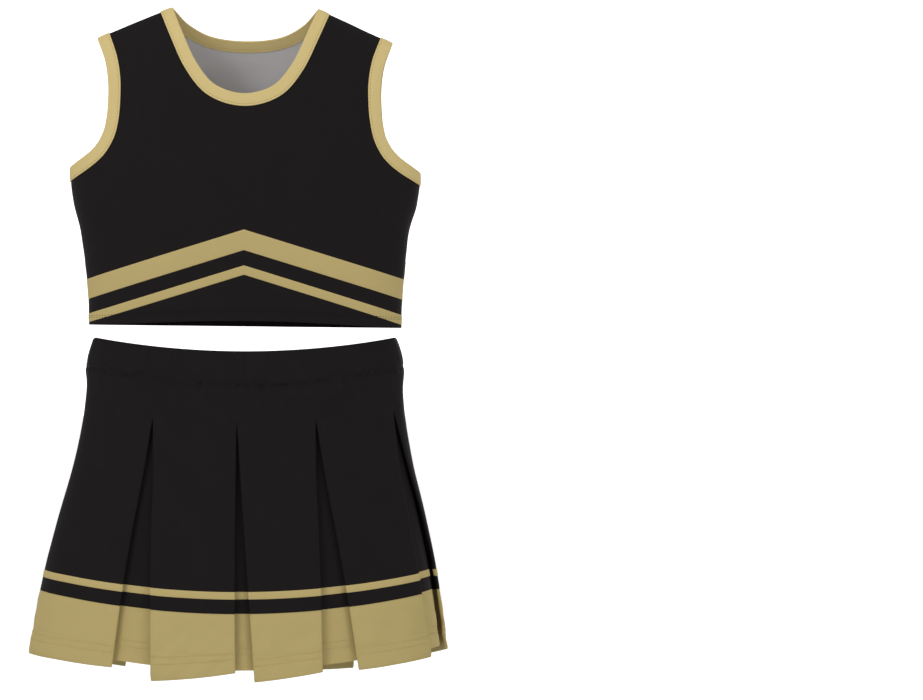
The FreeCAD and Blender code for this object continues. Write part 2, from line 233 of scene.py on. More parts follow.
def ease(x):
    """0 below 0, 1 above 1 and smooth between."""
    x = np.clip(x, 0, 1)
    return x * x * (3 - 2 * x)


def distances(line):
    """The distance run along a line at each of its points."""
    return np.concatenate([[0], np.cumsum(np.linalg.norm(np.diff(line, axis=0), axis=1))])


def full_length(line):
    return float(distances(line)[-1])


def waves(u, v, seed, count, longest, shortest):
    """A soft random surface of about unit height over the plane (u, v), with waves of those lengths."""
    rng = np.random.default_rng(seed)
    total = np.zeros(np.broadcast(u, v).shape)
    for _ in range(count):
        length = shortest * (longest / shortest) ** rng.random()
        heading, start = rng.random(2) * 2 * math.pi
        total = total + np.sin((u * math.cos(heading) + v * math.sin(heading)) * 2 * math.pi / length + start)
    return total / math.sqrt(count)


print("a smooth step passes its middle at", float(ease(0.5)))

# %% [markdown]
# ## The skirt's surface
#
# A pleated skirt is a fitted hip part above a cone, and its waist and hem dip at the centre front. Stations
# down the skirt give the half-width, the half-depth and that dip, in millimetres. The CAD solids have the same
# numbers, so cloth and collision agree.
# %% Skirt stations
BAND_HEIGHT = 27.0
RELEASE_DROP = 67.0
HINGE_DROP = 75.0
STRIPE_DROP, STRIPE_WIDTH = 220.0, 6.5
HEM_BAND_DROP = 239.0
SKIRT_LENGTH = 294.0
HEM_SWAY = -6.0
SKIRT_STATIONS = np.array([
    (0.0, 144.0, 44.0, 13.0),
    (27.0, 151.0, 48.0, 17.0),
    (50.0, 150.5, 49.0, 16.0),
    (75.0, 153.0, 51.0, 14.0),
    (120.0, 161.5, 57.0, 15.0),
    (168.0, 174.0, 66.0, 17.5),
    (220.0, 186.0, 75.0, 20.0),
    (294.0, 200.0, 87.0, 27.0),
])


def on_skirt(turns, drop, depth=0.0):
    """Points in mm at those quarter turns and drops below the waist, a depth inside the skirt's face."""
    half_width, half_depth, dip = (smooth(SKIRT_STATIONS[:, [0, k]], drop) for k in (1, 2, 3))
    x, forward = ring(turns)
    nx = np.sign(x) * np.abs(x) ** (ROUNDNESS - 1) / half_width
    ny = -np.sign(forward) * np.abs(forward) ** (ROUNDNESS - 1) / half_depth
    size = np.hypot(nx, ny)
    below = -drop - dip * (1 - x * x)
    sway = HEM_SWAY * np.clip((drop - 40) / 254, 0, 1.1)
    side, front = half_width * x + sway - depth * nx / size, -half_depth * forward - depth * ny / size
    return np.stack([side, front, below], axis=-1)


def turns_per_mm(turns, drop):
    step = 0.01
    span = on_skirt(turns + step, drop) - on_skirt(turns - step, drop)
    return 2 * step / np.linalg.norm(span, axis=-1)


def released(drop):
    """How far down the free part of a pleat: 0 at the release line, 1 at the hem."""
    return (drop - RELEASE_DROP) / (SKIRT_LENGTH - RELEASE_DROP)


hem_ring = on_skirt(np.linspace(0, 4, 400), SKIRT_LENGTH)
print("hem round, mm:", round(full_length(hem_ring)))

# %% [markdown]
# ## Where each pleat opens
#
# An inverted box pleat is a slot between two panels, with an underlay of the same cloth behind it. Each slot
# starts as a point at the release line, where the stitching ends, and widens to the hem. Real pleats never hang
# evenly, so every pleat has its own lean and its own opening.
# %% Pleats
PLEATS = {
    "centre_front": (-0.035, 0.034, 18.0),
    "front_left": (0.394, 0.428, 35.0),
    "side_left": (0.850, 0.934, 58.0),
    "back_left": (1.433, 1.478, 22.0),
    "centre_back": (1.898, 1.951, 38.0),
    "back_right": (2.350, 2.421, 29.0),
    "side_right": (2.920, 2.960, 58.0),
    "front_right": (3.507, 3.568, 38.0),
}
PANELS = ["front_left", "side_front_left", "side_back_left", "back_left",
          "back_right", "side_back_right", "side_front_right", "front_right"]


def slot_centre(index, drop):
    top, hem, _ = list(PLEATS.values())[index % 8]
    return top + (hem - top) * released(drop) + 4.0 * (index // 8)


def slot_edge(index, side, drop, out=0.0):
    """Quarter turns of one side of a pleat's opening, moved outwards by some millimetres."""
    opening = list(PLEATS.values())[index % 8][2]
    centre = slot_centre(index, drop)
    half = opening / 2 * np.clip(released(drop), 0, None)
    return centre + side * (half + out) * turns_per_mm(centre, drop)


for index, name in enumerate(PLEATS):
    print(f"{name}: opens {PLEATS[name][2]:.0f} mm at the hem")

# %% [markdown]
# ## How the skirt's cloth hangs
#
# Cloth isn't as smooth as its formula. Long soft waves grow towards the free hem, fine puckers lie where the
# waistband's seam gathers the cloth, a few creases run under the band, and a small hollow forms above each
# pleat. Every layer shares these displacements, so that none cuts through another.
# %% Drape of the skirt
HEM_STITCHES = (13.3, 19.0)
CREASES = [  # x, z, heading in degrees, length, width, height, and whether it is on the front
    (88.0, -50.0, 38.0, 34.0, 7.0, 2.4, True),
    (20.0, -47.0, 3.0, 60.0, 4.0, -0.9, True),
    (34.0, -54.0, -4.0, 50.0, 5.0, 0.8, True),
    (103.0, -40.0, 46.0, 18.0, 5.0, -1.1, True),
    (-59.0, -49.0, -18.0, 16.0, 5.0, -1.2, True),
    (26.0, -52.0, -8.0, 18.0, 5.0, -0.9, True),
    (-95.0, -42.0, -6.0, 30.0, 6.0, 0.7, True),
    (-32.0, -57.0, 30.0, 26.0, 6.0, -1.3, False),
    (-88.0, -55.0, -34.0, 24.0, 6.0, 1.3, False),
    (52.0, -50.0, 22.0, 22.0, 6.0, 1.0, False),
]


def skirt_drape(turns, drop):
    """Millimetres that the cloth stands out from the skirt's surface."""
    p = on_skirt(turns, drop)
    round_mm = np.mod(turns, 4.0) * 2 * math.pi
    loop_x, loop_y = 200 * np.cos(round_mm / 4), 200 * np.sin(round_mm / 4)
    free = np.clip(released(drop), 0, 1)
    out = (0.25 + 1.5 * free) * waves(loop_x + 0.3 * drop, loop_y - 0.2 * drop, 1, 7, 240, 90)
    under_band = np.clip((drop - BAND_HEIGHT) / 9.0, 0, 6)
    out += 0.8 * np.exp(-under_band) * waves(loop_x, loop_y, 2, 9, 26, 11)
    out += 0.4 * np.exp(-under_band / 3) * waves(loop_x + drop, loop_y, 3, 6, 60, 24)
    out -= 1.1 * np.exp(-(((drop - BAND_HEIGHT) / 3.0) ** 2))
    near_hem = ease((drop - HEM_BAND_DROP + 10) / 40)
    out += 0.4 * near_hem * waves(loop_x + 0.8 * drop, loop_y + drop, 4, 7, 60, 22)
    for up in HEM_STITCHES:
        row = np.exp(-(((SKIRT_LENGTH - up - drop) / 1.3) ** 2))
        out -= row * (0.28 + 0.12 * waves(loop_x, loop_y, 7, 5, 12, 6))
    for x, z, heading, length, width, height, on_front in CREASES:
        a = math.radians(heading)
        along = (p[..., 0] - x) * math.cos(a) + (p[..., 2] - z) * math.sin(a)
        beside = -(p[..., 0] - x) * math.sin(a) + (p[..., 2] - z) * math.cos(a)
        same_side = (p[..., 1] < 0) == on_front
        out += 1.5 * height * np.exp(-((along / length) ** 2) * 2 - (beside / width) ** 2) * same_side
    for index in range(8):
        away = (turns - slot_centre(index, drop) + 2) % 4 - 2
        beside = away / turns_per_mm(turns, drop)
        out -= 1.1 * np.exp(-((beside / 5.0) ** 2) - ((drop - RELEASE_DROP - 2) / 9.0) ** 2)
        out += 0.5 * np.exp(-((beside - 9) / 7.0) ** 2 - ((drop - RELEASE_DROP + 6) / 14.0) ** 2)
    return out


print("creases placed:", len(CREASES))

# %% [markdown]
# ## Cloth with two faces
#
# A modifier could thicken a sheet, but then both faces would share one material. Here each piece is two grids
# of points, the face and the reverse, joined by a rim. The face is black or gold and the reverse is grey, as on
# printed polyester.
# %% Mesh helpers
FOLD_ANGLE = math.radians(50)


def grid_quads(rows, cols, start=0, flip=False):
    """Quads over a grid of points. They face you if rows run down and columns to the right."""
    r, c = np.meshgrid(np.arange(rows - 1), np.arange(cols - 1), indexing="ij")
    a = (start + r * cols + c).ravel()
    quads = np.stack([a, a + cols, a + cols + 1, a + 1], axis=1)
    return quads[:, ::-1] if flip else quads


def rim_quads(rows, cols, other):
    """Quads from the border of a grid to that of a second grid whose points start at other."""
    top, left = np.arange(cols), np.arange(rows) * cols
    a = np.concatenate([top[:-1], (left + cols - 1)[:-1], (top + left[-1])[:0:-1], left[:0:-1]])
    b = np.roll(a, -1)
    return np.stack([a, b, b + other, a + other], axis=1)


def round_off(mesh):
    """Shades a mesh smooth except at edges sharper than a fold, such as the rim of a sheet."""
    mesh.polygons.foreach_set("use_smooth", np.ones(len(mesh.polygons), bool))
    mesh.set_sharp_from_angle(angle=FOLD_ANGLE)


def new_object(name, points, faces, materials, face_materials=None):
    """A mesh object from points in mm. faces is an array of quads or triangles, or a list of such arrays."""
    mesh = bpy.data.meshes.new(name)
    lists = [f.tolist() for f in (faces if isinstance(faces, list) else [faces])]
    mesh.from_pydata((np.asarray(points, float).reshape(-1, 3) * MM).tolist(), [], sum(lists, []))
    for material in materials:
        mesh.materials.append(material)
    if face_materials is not None:
        mesh.polygons.foreach_set("material_index", np.asarray(face_materials, np.int32))
    mesh.update()
    round_off(mesh)
    made = bpy.data.objects.new(name, mesh)
    bpy.context.scene.collection.objects.link(made)
    return made


def weld(piece, distance=0.02, close=False):
    """Joins points that lie together. With close, it also fills open ends and turns every face outwards."""
    work = bmesh.new()
    work.from_mesh(piece.data)
    bmesh.ops.remove_doubles(work, verts=work.verts, dist=distance * MM)
    if close:
        ends = [edge for edge in work.edges if len(edge.link_faces) == 1]
        if ends:
            bmesh.ops.triangle_fill(work, use_beauty=True, edges=ends)
        bmesh.ops.recalc_face_normals(work, faces=work.faces)
    else:
        bmesh.ops.dissolve_degenerate(work, edges=work.edges, dist=distance * MM / 4)
    work.to_mesh(piece.data)
    work.free()
    round_off(piece.data)
    return piece


print("quads in a grid of 3 by 3 points:", len(grid_quads(3, 3)))

# %% Sheets with two faces
def add_cloth_map(piece, arc, drop):
    """Gives a two-faced piece its cloth coordinates in metres, the same on both faces."""
    flat = np.stack([np.ravel(arc), -np.ravel(drop)], axis=1) * MM
    points = len(piece.data.vertices)
    flat = np.tile(flat, (math.ceil(points / len(flat)), 1))[:points]
    corners = np.empty(len(piece.data.loops), np.int32)
    piece.data.loops.foreach_get("vertex_index", corners)
    piece.data.uv_layers.new(name="cloth").data.foreach_set("uv", flat[corners].ravel().astype(np.float32))
    return piece


def cloth(name, sides, arc, drop, face_material, reverse_material=None, turned_from=None):
    """A closed sheet between two grids of points, its face and its reverse. From the row turned_from on, the
    reverse is the turned-up hem, which shows the face's material."""
    rows, cols = sides[0].shape[:2]
    count = rows * cols
    front = grid_quads(rows, cols)
    back = grid_quads(rows, cols, count, flip=True)
    rim = rim_quads(rows, cols, count)[:, ::-1]
    behind = np.ones(len(back))
    if turned_from is not None:
        behind[turned_from * (cols - 1):] = 0
    kinds = np.concatenate([np.zeros(len(front)), behind, np.zeros(len(rim))])
    materials = [face_material, reverse_material or face_material]
    piece = new_object(name, np.stack(sides), [front, back, rim], materials, kinds)
    return add_cloth_map(piece, arc, drop)


print("a sheet between two grids of 3 by 3 points has", 2 * 4 + len(rim_quads(3, 3, 9)), "faces")

# %% [markdown]
# ## Fabric finishes
#
# The uniform is cut from double-knit polyester. Close up it is rows of tiny loops: columns called wales, about
# a millimetre apart, crossed by courses. Each material could draw that, but a shader node group does it once.
# Every piece carries its own cloth coordinates in metres, so the loops keep their real size and move with it.
# %% Knit node group
def node(tree, kind, inputs=None, **settings):
    """Adds a node, sets it up and fills or links its inputs, given by name or number."""
    made = tree.nodes.new(kind)
    for key, value in settings.items():
        setattr(made, key, value)
    for key, value in (inputs or {}).items():
        if isinstance(value, bpy.types.NodeSocket):
            tree.links.new(value, made.inputs[key])
        else:
            made.inputs[key].default_value = value
    return made


def math_node(tree, operation, *values):
    return node(tree, "ShaderNodeMath", dict(enumerate(values)), operation=operation).outputs[0]


def new_group(name, inputs, outputs):
    tree = bpy.data.node_groups.new(name, "ShaderNodeTree")
    for label, kind, value in inputs:
        socket = tree.interface.new_socket(label, in_out="INPUT", socket_type=kind)
        if value is not None:
            socket.default_value = value
    for label, kind in outputs:
        tree.interface.new_socket(label, in_out="OUTPUT", socket_type=kind)
    return tree, tree.nodes.new("NodeGroupInput").outputs, tree.nodes.new("NodeGroupOutput").inputs


knit, given, wanted = new_group(
    "Knit cloth",
    [("Cloth", "NodeSocketVector", None), ("Wale", "NodeSocketFloat", 0.0009),
     ("Course", "NodeSocketFloat", 0.0007)],
    [("Height", "NodeSocketFloat"), ("Shade", "NodeSocketFloat"), ("Wear", "NodeSocketFloat")],
)


def noise(scale, detail, roughness):
    settings = {"Vector": given["Cloth"], "Scale": scale, "Detail": detail, "Roughness": roughness}
    return node(knit, "ShaderNodeTexNoise", settings).outputs[0]


place = node(knit, "ShaderNodeSeparateXYZ", {0: given["Cloth"]}).outputs
across = math_node(knit, "DIVIDE", place[0], given["Wale"])
along = math_node(knit, "DIVIDE", place[1], given["Course"])
slant = math_node(knit, "PINGPONG", across, 0.5)
rib = math_node(knit, "COSINE", math_node(knit, "MULTIPLY", across, 2 * math.pi))
loop_phase = math_node(knit, "MULTIPLY", math_node(knit, "ADD", along, slant), 2 * math.pi)
loop = math_node(knit, "COSINE", loop_phase)
height = math_node(knit, "MULTIPLY_ADD", rib, 0.3, math_node(knit, "MULTIPLY", loop, 0.2))
knit.links.new(math_node(knit, "ADD", height, 0.5), wanted["Height"])
# Tone of the knit: lighter on the crowns of the loops and darker between them, which is a painted shade in the tiny
# hollows, plus random tone of the fibres and soft unevenness from noise.
loop_shade_and_tone = math_node(knit, "MULTIPLY_ADD", height, 0.35, 0.32)
for scale, detail, roughness in ((900.0, 2.0, 0.5), (26.0, 3.0, 0.55)):  # fibres, then soft unevenness
    loop_shade_and_tone = math_node(knit, "MULTIPLY_ADD", noise(scale, detail, roughness), 0.22, loop_shade_and_tone)
knit.links.new(loop_shade_and_tone, wanted["Shade"])
rubbed = {"Value": noise(55.0, 5.0, 0.7), "From Min": 0.58, "From Max": 0.78}
knit.links.new(node(knit, "ShaderNodeMapRange", rubbed).outputs[0], wanted["Wear"])
print("node group:", knit.name, len(knit.nodes), "nodes")

# %% [markdown]
# ## Cloth materials
#
# A fabric has no clear highlight, but its fibres catch light at a glancing angle, which the shader calls sheen.
# Base colour, roughness and bump come from the knit group, and the sheen is one number for the whole cloth.
# %% Fabric material
def fabric(name, dark, light, wale=0.9, course=0.7, bump=0.12, sheen=0.15, gloss=0.2):
    """A knitted cloth whose colour lies between dark and light, with loops of that size in millimetres."""
    material = bpy.data.materials.new(name)
    material.use_nodes = True
    tree = material.node_tree
    shader = tree.nodes["Principled BSDF"]
    cloth_place = node(tree, "ShaderNodeUVMap", uv_map="cloth").outputs[0]
    yarn = node(tree, "ShaderNodeGroup", node_tree=knit)
    tree.links.new(cloth_place, yarn.inputs["Cloth"])
    yarn.inputs["Wale"].default_value = wale * MM
    yarn.inputs["Course"].default_value = course * MM
    # Mixing dark and light by the knit's Shade output paints shade between the loops, as well as giving random tone.
    tones = {0: yarn.outputs["Shade"], 6: (*dark, 1), 7: (*light, 1)}
    colour = node(tree, "ShaderNodeMix", tones, data_type="RGBA")
    pilled = [min(1.0, c * 1.12 + 0.004) for c in light]
    faded = math_node(tree, "MULTIPLY", yarn.outputs["Wear"], 0.35)
    colour = node(tree, "ShaderNodeMix", {0: faded, 6: colour.outputs[2], 7: (*pilled, 1)}, data_type="RGBA")
    tree.links.new(colour.outputs[2], shader.inputs["Base Color"])
    dullness = {"Value": yarn.outputs["Shade"], "To Min": 0.9, "To Max": 0.72}
    tree.links.new(node(tree, "ShaderNodeMapRange", dullness).outputs[0], shader.inputs["Roughness"])
    relief = {"Height": yarn.outputs["Height"], "Strength": bump, "Distance": 0.0004}
    tree.links.new(node(tree, "ShaderNodeBump", relief).outputs[0], shader.inputs["Normal"])
    shader.inputs["Sheen Weight"].default_value = sheen
    shader.inputs["Sheen Roughness"].default_value = 0.5
    shader.inputs["Sheen Tint"].default_value = (*pilled, 1)
    shader.inputs["Specular IOR Level"].default_value = gloss
    return material


def linear(red, green, blue):
    """Scene colour of a display colour given from 0 to 255."""
    return tuple(((c / 255 + 0.055) / 1.055) ** 2.4 if c > 10 else c / 255 / 12.92 for c in (red, green, blue))


def shades(colour, spread):
    """A darker and a lighter tone of a colour."""
    return [tuple(c * (1 + side * spread) for c in colour) for side in (-1, 1)]


black_cloth = fabric("black knit", *shades(linear(25, 21, 22), 0.25), sheen=0.03, gloss=0.12)
grey_reverse = fabric("grey reverse", *shades(linear(206, 204, 205), 0.06), bump=0.2)
gold_cloth = fabric("gold knit", *shades(linear(193, 174, 115), 0.06))
gold_braid = fabric("gold braid", *shades(linear(198, 178, 119), 0.05), wale=1.1, course=0.9, bump=0.25)
gold_binding = fabric("gold binding", *shades(linear(220, 198, 136), 0.05), wale=0.7, course=0.9, bump=0.18)
black_thread = fabric("black thread", *shades(linear(26, 23, 24), 0.2), wale=0.25, course=0.4,
                      sheen=0.05, gloss=0.15)
gold_thread = fabric("gold thread", *shades(linear(196, 176, 118), 0.08), wale=0.25, course=0.4)
white_elastic = fabric("woven elastic", *shades(linear(205, 204, 200), 0.06), wale=1.6, course=1.2, bump=0.5)
print("materials:", ", ".join(m.name for m in bpy.data.materials))

# %% [markdown]
# ## Folding a panel
#
# Seen from below, a pleat panel has a hook at each side: the cloth turns back on itself in a tight fold and
# runs some 27 mm behind the panel. So each row is drawn as a path, measured in millimetres across and inwards,
# with a face and a reverse half a cloth thickness to each side. Above the release line the pleats are stitched
# shut, so the rows there have no hooks.
# %% Folded sheets
CLOTH = 1.0
FOLD_RADIUS = 1.5
RETURN_REACH = 27.0
BEND_BELOW_HINGE, BEND_LENGTH = 14.0, 45.0


def two_faces(low, scale, arc, depth, drop, bulge):
    """The face and the reverse of a sheet whose middle runs at those mm across and inwards."""
    run_arc, run_depth = np.gradient(arc, axis=1), np.gradient(depth, axis=1)
    run_arc = np.where(np.hypot(run_arc, run_depth) < 1e-6, 1.0, run_arc)
    size = np.hypot(run_arc, run_depth)
    sides = []
    for half in (CLOTH / 2, -CLOTH / 2):
        a, d = arc + half * run_depth / size, depth - half * run_arc / size
        turns = low + a * scale
        sides.append(on_skirt(turns, drop, d - bulge - skirt_drape(turns, drop)))
    return sides


def hook(radius, reach):
    """A return and a fold, as rows of (mm in from the fold's edge, depth): the return's end comes first."""
    middle = radius - CLOTH / 2
    run = np.linspace(1, 0, 7)[:-1]
    turn = np.linspace(math.pi, 0, 7)
    radius, reach, middle = (np.asarray(v, float)[:, None] for v in (radius, reach, middle))
    arc = np.concatenate([radius + reach * run, radius - middle * np.sin(turn)], axis=1)
    depth = np.concatenate([radius + middle + 0 * run, radius - middle * np.cos(turn)], axis=1)
    return arc, depth


print("cloth", CLOTH, "mm thick, folded round", FOLD_RADIUS, "mm")

# %% Rows of a panel
PANEL_TUCKS = [2.5, 2.7, 1.2, 2.2, 2.6, 1.2, 2.0, 2.6]
HEM_DROPS = [(4.0, -1.3), (1.5, 4.0), (2.0, 3.0), (3.5, -1.0),
             (-2.0, 3.5), (2.5, 2.0), (5.0, -0.7), (7.0, -4.6)]


def panel_edges(index, drop):
    return slot_edge(index, 1, drop), slot_edge(index + 1, -1, drop)


def panel_bulge(index, across, drop):
    """How far a panel crowns outwards at that share of its width. One edge is tucked back a little."""
    free = np.clip(released(drop), 0, 1)
    crown = 2.2 * free * (1 - (2 * across - 1) ** 2)
    flute = 0.8 * free * np.sin(2 * math.pi * (across * (1.3 + 0.1 * index) + 0.13 * index))
    side = np.sin(math.pi * np.clip(across, 0, 1))
    return crown + flute * side - PANEL_TUCKS[index] * free * np.exp(-across * 7)


def hem_lengthening(index, across, drop):
    """The extra drop near the hem that makes one corner of a panel hang lower."""
    low, high = HEM_DROPS[index]
    share = np.clip((drop - HEM_BAND_DROP) / (SKIRT_LENGTH - HEM_BAND_DROP), 0, 1)
    return (low + (high - low) * np.clip(across, 0, 1)) * share


def panel_rows(index, drops, columns=34, reach=RETURN_REACH):
    """The two grids of a panel over those drops. Above the release line the folds shrink to nothing."""
    low, high = panel_edges(index, drops)
    scale = turns_per_mm((low + high) / 2, drops)
    width = (high - low) / scale
    share = np.linspace(0, 1, columns)
    radius = 0.6 + (FOLD_RADIUS - 0.6) * ease((drops - RELEASE_DROP) / 14.0)
    hook_arc, hook_depth = hook(radius, np.full_like(drops, reach))
    free = (drops > RELEASE_DROP + 0.01)[:, None]
    hook_arc, hook_depth = np.where(free, hook_arc, 0), np.where(free, hook_depth, CLOTH / 2)
    face = radius[:, None] + (width - 2 * radius)[:, None] * share[1:-1]
    arc = np.concatenate([hook_arc, face, (width[:, None] - hook_arc)[:, ::-1]], axis=1)
    depth = np.concatenate([hook_depth, np.full_like(face, CLOTH / 2), hook_depth[:, ::-1]], axis=1)
    across = np.clip(arc / width[:, None], 0, 1)
    drop = drops[:, None] + hem_lengthening(index, across, drops[:, None])
    bulge = panel_bulge(index, across, drops[:, None])
    return two_faces(low[:, None], scale[:, None], arc, depth, drop, bulge), arc, drop


def merge(name, parts):
    """Joins pieces into one object and welds the points that they share."""
    with bpy.context.temp_override(active_object=parts[0], selected_editable_objects=parts):
        bpy.ops.object.join()
    parts[0].name = parts[0].data.name = name
    return weld(parts[0])


def follow_pleat(piece, body):
    """Lets a piece bend from the hips, above the release line, to the swinging body below it."""
    start = -(HINGE_DROP + BEND_BELOW_HINGE) * MM
    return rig.blend(piece, "skirt", body, start=(0, 0, start), end=(0, 0, start - BEND_LENGTH * MM))


SHEETS = []


def cut_size(name, low, high, drops, extra):
    """The flat cut of a skirt piece: its widest row, its length and its area, in metres."""
    width = ((high - low) / turns_per_mm((low + high) / 2, drops) + extra) * MM
    length = (drops[-1] - drops[0]) * MM
    area = float(np.trapz(width, drops * MM))
    SHEETS.append((name, float(width.max()), float(length), area))
    return dict(flat=(float(width.max()), float(length)), area=area)


print("panels to fold:", len(PANELS))

# %% [markdown]
# ## The eight panels
#
# A panel is one length of cloth from the waistband's seam to the hem band. Its top is stitched to its
# neighbours and stays on the hips, and its foot swings with the pleat, so the piece is blended between the two
# bodies instead of being hinged like a door. Cloth simulation could drape it, but pressed polyester keeps its
# pleats, and drawn rows keep the folds crisp.
# %% Panels
yoke_drops = np.concatenate([np.linspace(BAND_HEIGHT - 3, 50, 18)[:-1], np.linspace(50, RELEASE_DROP, 14)])
free_drops = [[RELEASE_DROP + 0.6], np.linspace(RELEASE_DROP + 2, 100, 13), np.linspace(102, HEM_BAND_DROP, 34)]
every_drop = np.concatenate([yoke_drops, *free_drops])

for index, name in enumerate(PANELS):
    panel = weld(cloth(f"pleat_panel_{name}", *panel_rows(index, every_drop), black_cloth, grey_reverse))
    follow_pleat(panel, f"panel_{name}")
    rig.replaces(panel, f"panel_{name}")
    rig.slot(panel, "black_knit")
    extra = np.where(every_drop > RELEASE_DROP, 2 * RETURN_REACH, 0.0)
    cut = cut_size(panel.name, *panel_edges(index, every_drop), every_drop, extra)
    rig.sheet(panel, held="hung", rests_on=["waistband_cloth_front", "waistband_cloth_back"], **cut)
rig.replaces(bpy.data.objects["pleat_panel_front_left"], "skirt_yoke_front")
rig.replaces(bpy.data.objects["pleat_panel_back_left"], "skirt_yoke_back")
print("panels:", [o.name for o in bpy.data.objects if o.name.startswith("pleat_panel")])

# %% [markdown]
# ## Gold hem bands and stripes
#
# The wide gold hem folds with its panel, so it repeats the panel's rows over the last 55 mm. At its foot the
# cloth is turned up inside and the edge is round. The two lower corners seldom hang level, so each band has its
# own lengthening. The narrow stripe is braid that lies a third of a millimetre proud.
# %% Hem bands and stripes
hem_drops = np.concatenate([np.linspace(HEM_BAND_DROP, 272, 13), [272.5, 273.5],
                            np.linspace(274.2, SKIRT_LENGTH - 1, 15), SKIRT_LENGTH - np.array([0.5, 0.2, 0.0])])
hem_round = np.concatenate([np.zeros(len(hem_drops) - 3), [0.1, 0.28, 0.45]])
turned_row = int(np.searchsorted(hem_drops, 273))
seam_dip = 0.35 * np.exp(-(((hem_drops - HEM_BAND_DROP) / 1.0) ** 2))
turned_up = 0.9 * ease((hem_drops - (SKIRT_LENGTH - 21)) / 1.5)


def shaped(face, reverse, inward, thicken):
    """Moves the face in by inward and the reverse by thicken, both per row, along the line between them."""
    across = reverse - face
    across = across / np.linalg.norm(across, axis=-1, keepdims=True)
    return face + across * inward[:, None, None], reverse + across * thicken[:, None, None]


def braid(name, rows):
    """A strip of braid that lies on those rows."""
    (face, reverse), arc, drop = rows
    across = (face - reverse) / CLOTH
    sides = face + across * (BRAID_RISE[:, None, None] + 0.02), face - across * 0.15
    return cloth(name, sides, arc, drop, gold_braid)


stripe_drops = STRIPE_DROP + STRIPE_WIDTH * np.array([0, 0.04, 0.12, 0.5, 0.88, 0.96, 1.0])
BRAID_RISE = np.array([0.0, 0.25, 0.35, 0.35, 0.35, 0.25, 0.0])

for index, name in enumerate(PANELS):
    (face, reverse), arc, drop = panel_rows(index, hem_drops)
    sides = shaped(face, reverse, hem_round + seam_dip, turned_up * 0.55 - hem_round)
    band = cloth(f"hem_band_{name}", sides, arc, drop, gold_cloth, grey_reverse, turned_row)
    low, high = panel_edges(index, hem_drops)
    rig.sheet(band, held="hung", rests_on=[f"pleat_panel_{name}"],
             **cut_size(band.name, low, high, hem_drops, 2 * RETURN_REACH))
    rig.replaces(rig.slot(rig.ride(band, f"panel_{name}"), "gold_knit"), f"panel_hem_{name}")
    stripe = braid(f"stripe_{name}", panel_rows(index, stripe_drops, reach=5.0))
    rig.replaces(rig.slot(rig.ride(stripe, f"panel_{name}"), "gold_braid"), f"panel_stripe_{name}")
print("hem bands and stripes:", 2 * len(PANELS))

# %% [markdown]
# ## The underlays
#
# Behind every slot lies the pleat's underlay, whose sides curl forward to meet the panels' returns. It could be
# one cloth with them, but it swings less than they do. It hangs a little shorter, which shows in the notches
# between the gold bands.
# %% Underlays
UNDERLAY_LENGTHS = [287.5, 287.0, 292.5, 288.0, 287.0, 288.0, 292.5, 287.0]
UNDERLAY_SIDES = 18.0


def underlay_rows(index, drops):
    """The two grids of an underlay over those drops."""
    centre = slot_centre(index, drops)
    scale = turns_per_mm(centre, drops)
    opening = np.array(list(PLEATS.values()))[index, 2] * np.clip(released(drops), 0, None)
    half = (opening / 2 + RETURN_REACH)[:, None]
    free = released(drops)
    back = (5.2 + 1.8 * free)[:, None] + CLOTH / 2
    front = np.full_like(back, 2 * FOLD_RADIUS + 0.3 + CLOTH / 2)
    radius = (back - front) / 2
    turn = np.linspace(0, math.pi, 7)
    lip_arc, lip_depth = -half + np.array([5.0, 2.5]), front + np.zeros(2)
    bend_arc, bend_depth = -half - radius * np.sin(turn), front + radius * (1 - np.cos(turn))
    face = -half + 2 * half * np.linspace(0, 1, 30)[1:-1]
    sag = 0.8 * free[:, None] * np.cos(face / half * math.pi / 2)
    arc = np.concatenate([lip_arc, bend_arc, face, -bend_arc[:, ::-1], -lip_arc[:, ::-1]], axis=1)
    side = np.concatenate([lip_depth, bend_depth], axis=1)
    depth = np.concatenate([side, back + sag, side[:, ::-1]], axis=1)
    tucked = -PANEL_TUCKS[index] * np.clip(free, 0, 1)[:, None] * ease(0.5 + arc / (2 * half))
    drop = drops[:, None] + 0 * arc
    return two_faces(centre[:, None], scale[:, None], arc, depth, drop, tucked), arc, drop


def underlay_sheet(index, name, drops, material, body):
    piece = cloth(name, *underlay_rows(index, drops), material, grey_reverse)
    if drops[0] < HINGE_DROP:
        follow_pleat(piece, body)
    else:
        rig.ride(piece, body)
    low, high = slot_edge(index, -1, drops, RETURN_REACH), slot_edge(index, 1, drops, RETURN_REACH)
    cut = cut_size(name, low, high, drops, UNDERLAY_SIDES)
    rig.sheet(piece, held="hung", rests_on=["waistband_cloth_front", "waistband_cloth_back"], **cut)
    return piece


for index, name in enumerate(PLEATS):
    body = f"underlay_{name}"
    drops = np.linspace(RELEASE_DROP + 0.6, HEM_BAND_DROP, 36)
    inner = underlay_sheet(index, f"pleat_underlay_{name}", drops, black_cloth, body)
    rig.replaces(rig.slot(inner, "black_knit"), body)
    inner_hem = np.linspace(HEM_BAND_DROP, UNDERLAY_LENGTHS[index], 14)
    hem = underlay_sheet(index, f"underlay_hem_{name}", inner_hem, gold_cloth, body)
    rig.replaces(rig.slot(hem, "gold_knit"), f"underlay_trim_{name}")
    stripe = braid(f"underlay_stripe_{name}", underlay_rows(index, stripe_drops))
    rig.slot(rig.ride(stripe, body), "gold_braid")
print("underlays:", len(PLEATS))

# %% [markdown]
# ## The waistband
#
# The waistband is a strip folded over elastic: an outer wall, a round top and an inner wall, sewn to the skirt
# at the foot. One path goes up the outside, over and down the inside. The elastic pulls it in slightly, so the
# wall swells between its edges and ripples, and the band stands proud of the skirt.
# %% Waistband
CASING = 4.4


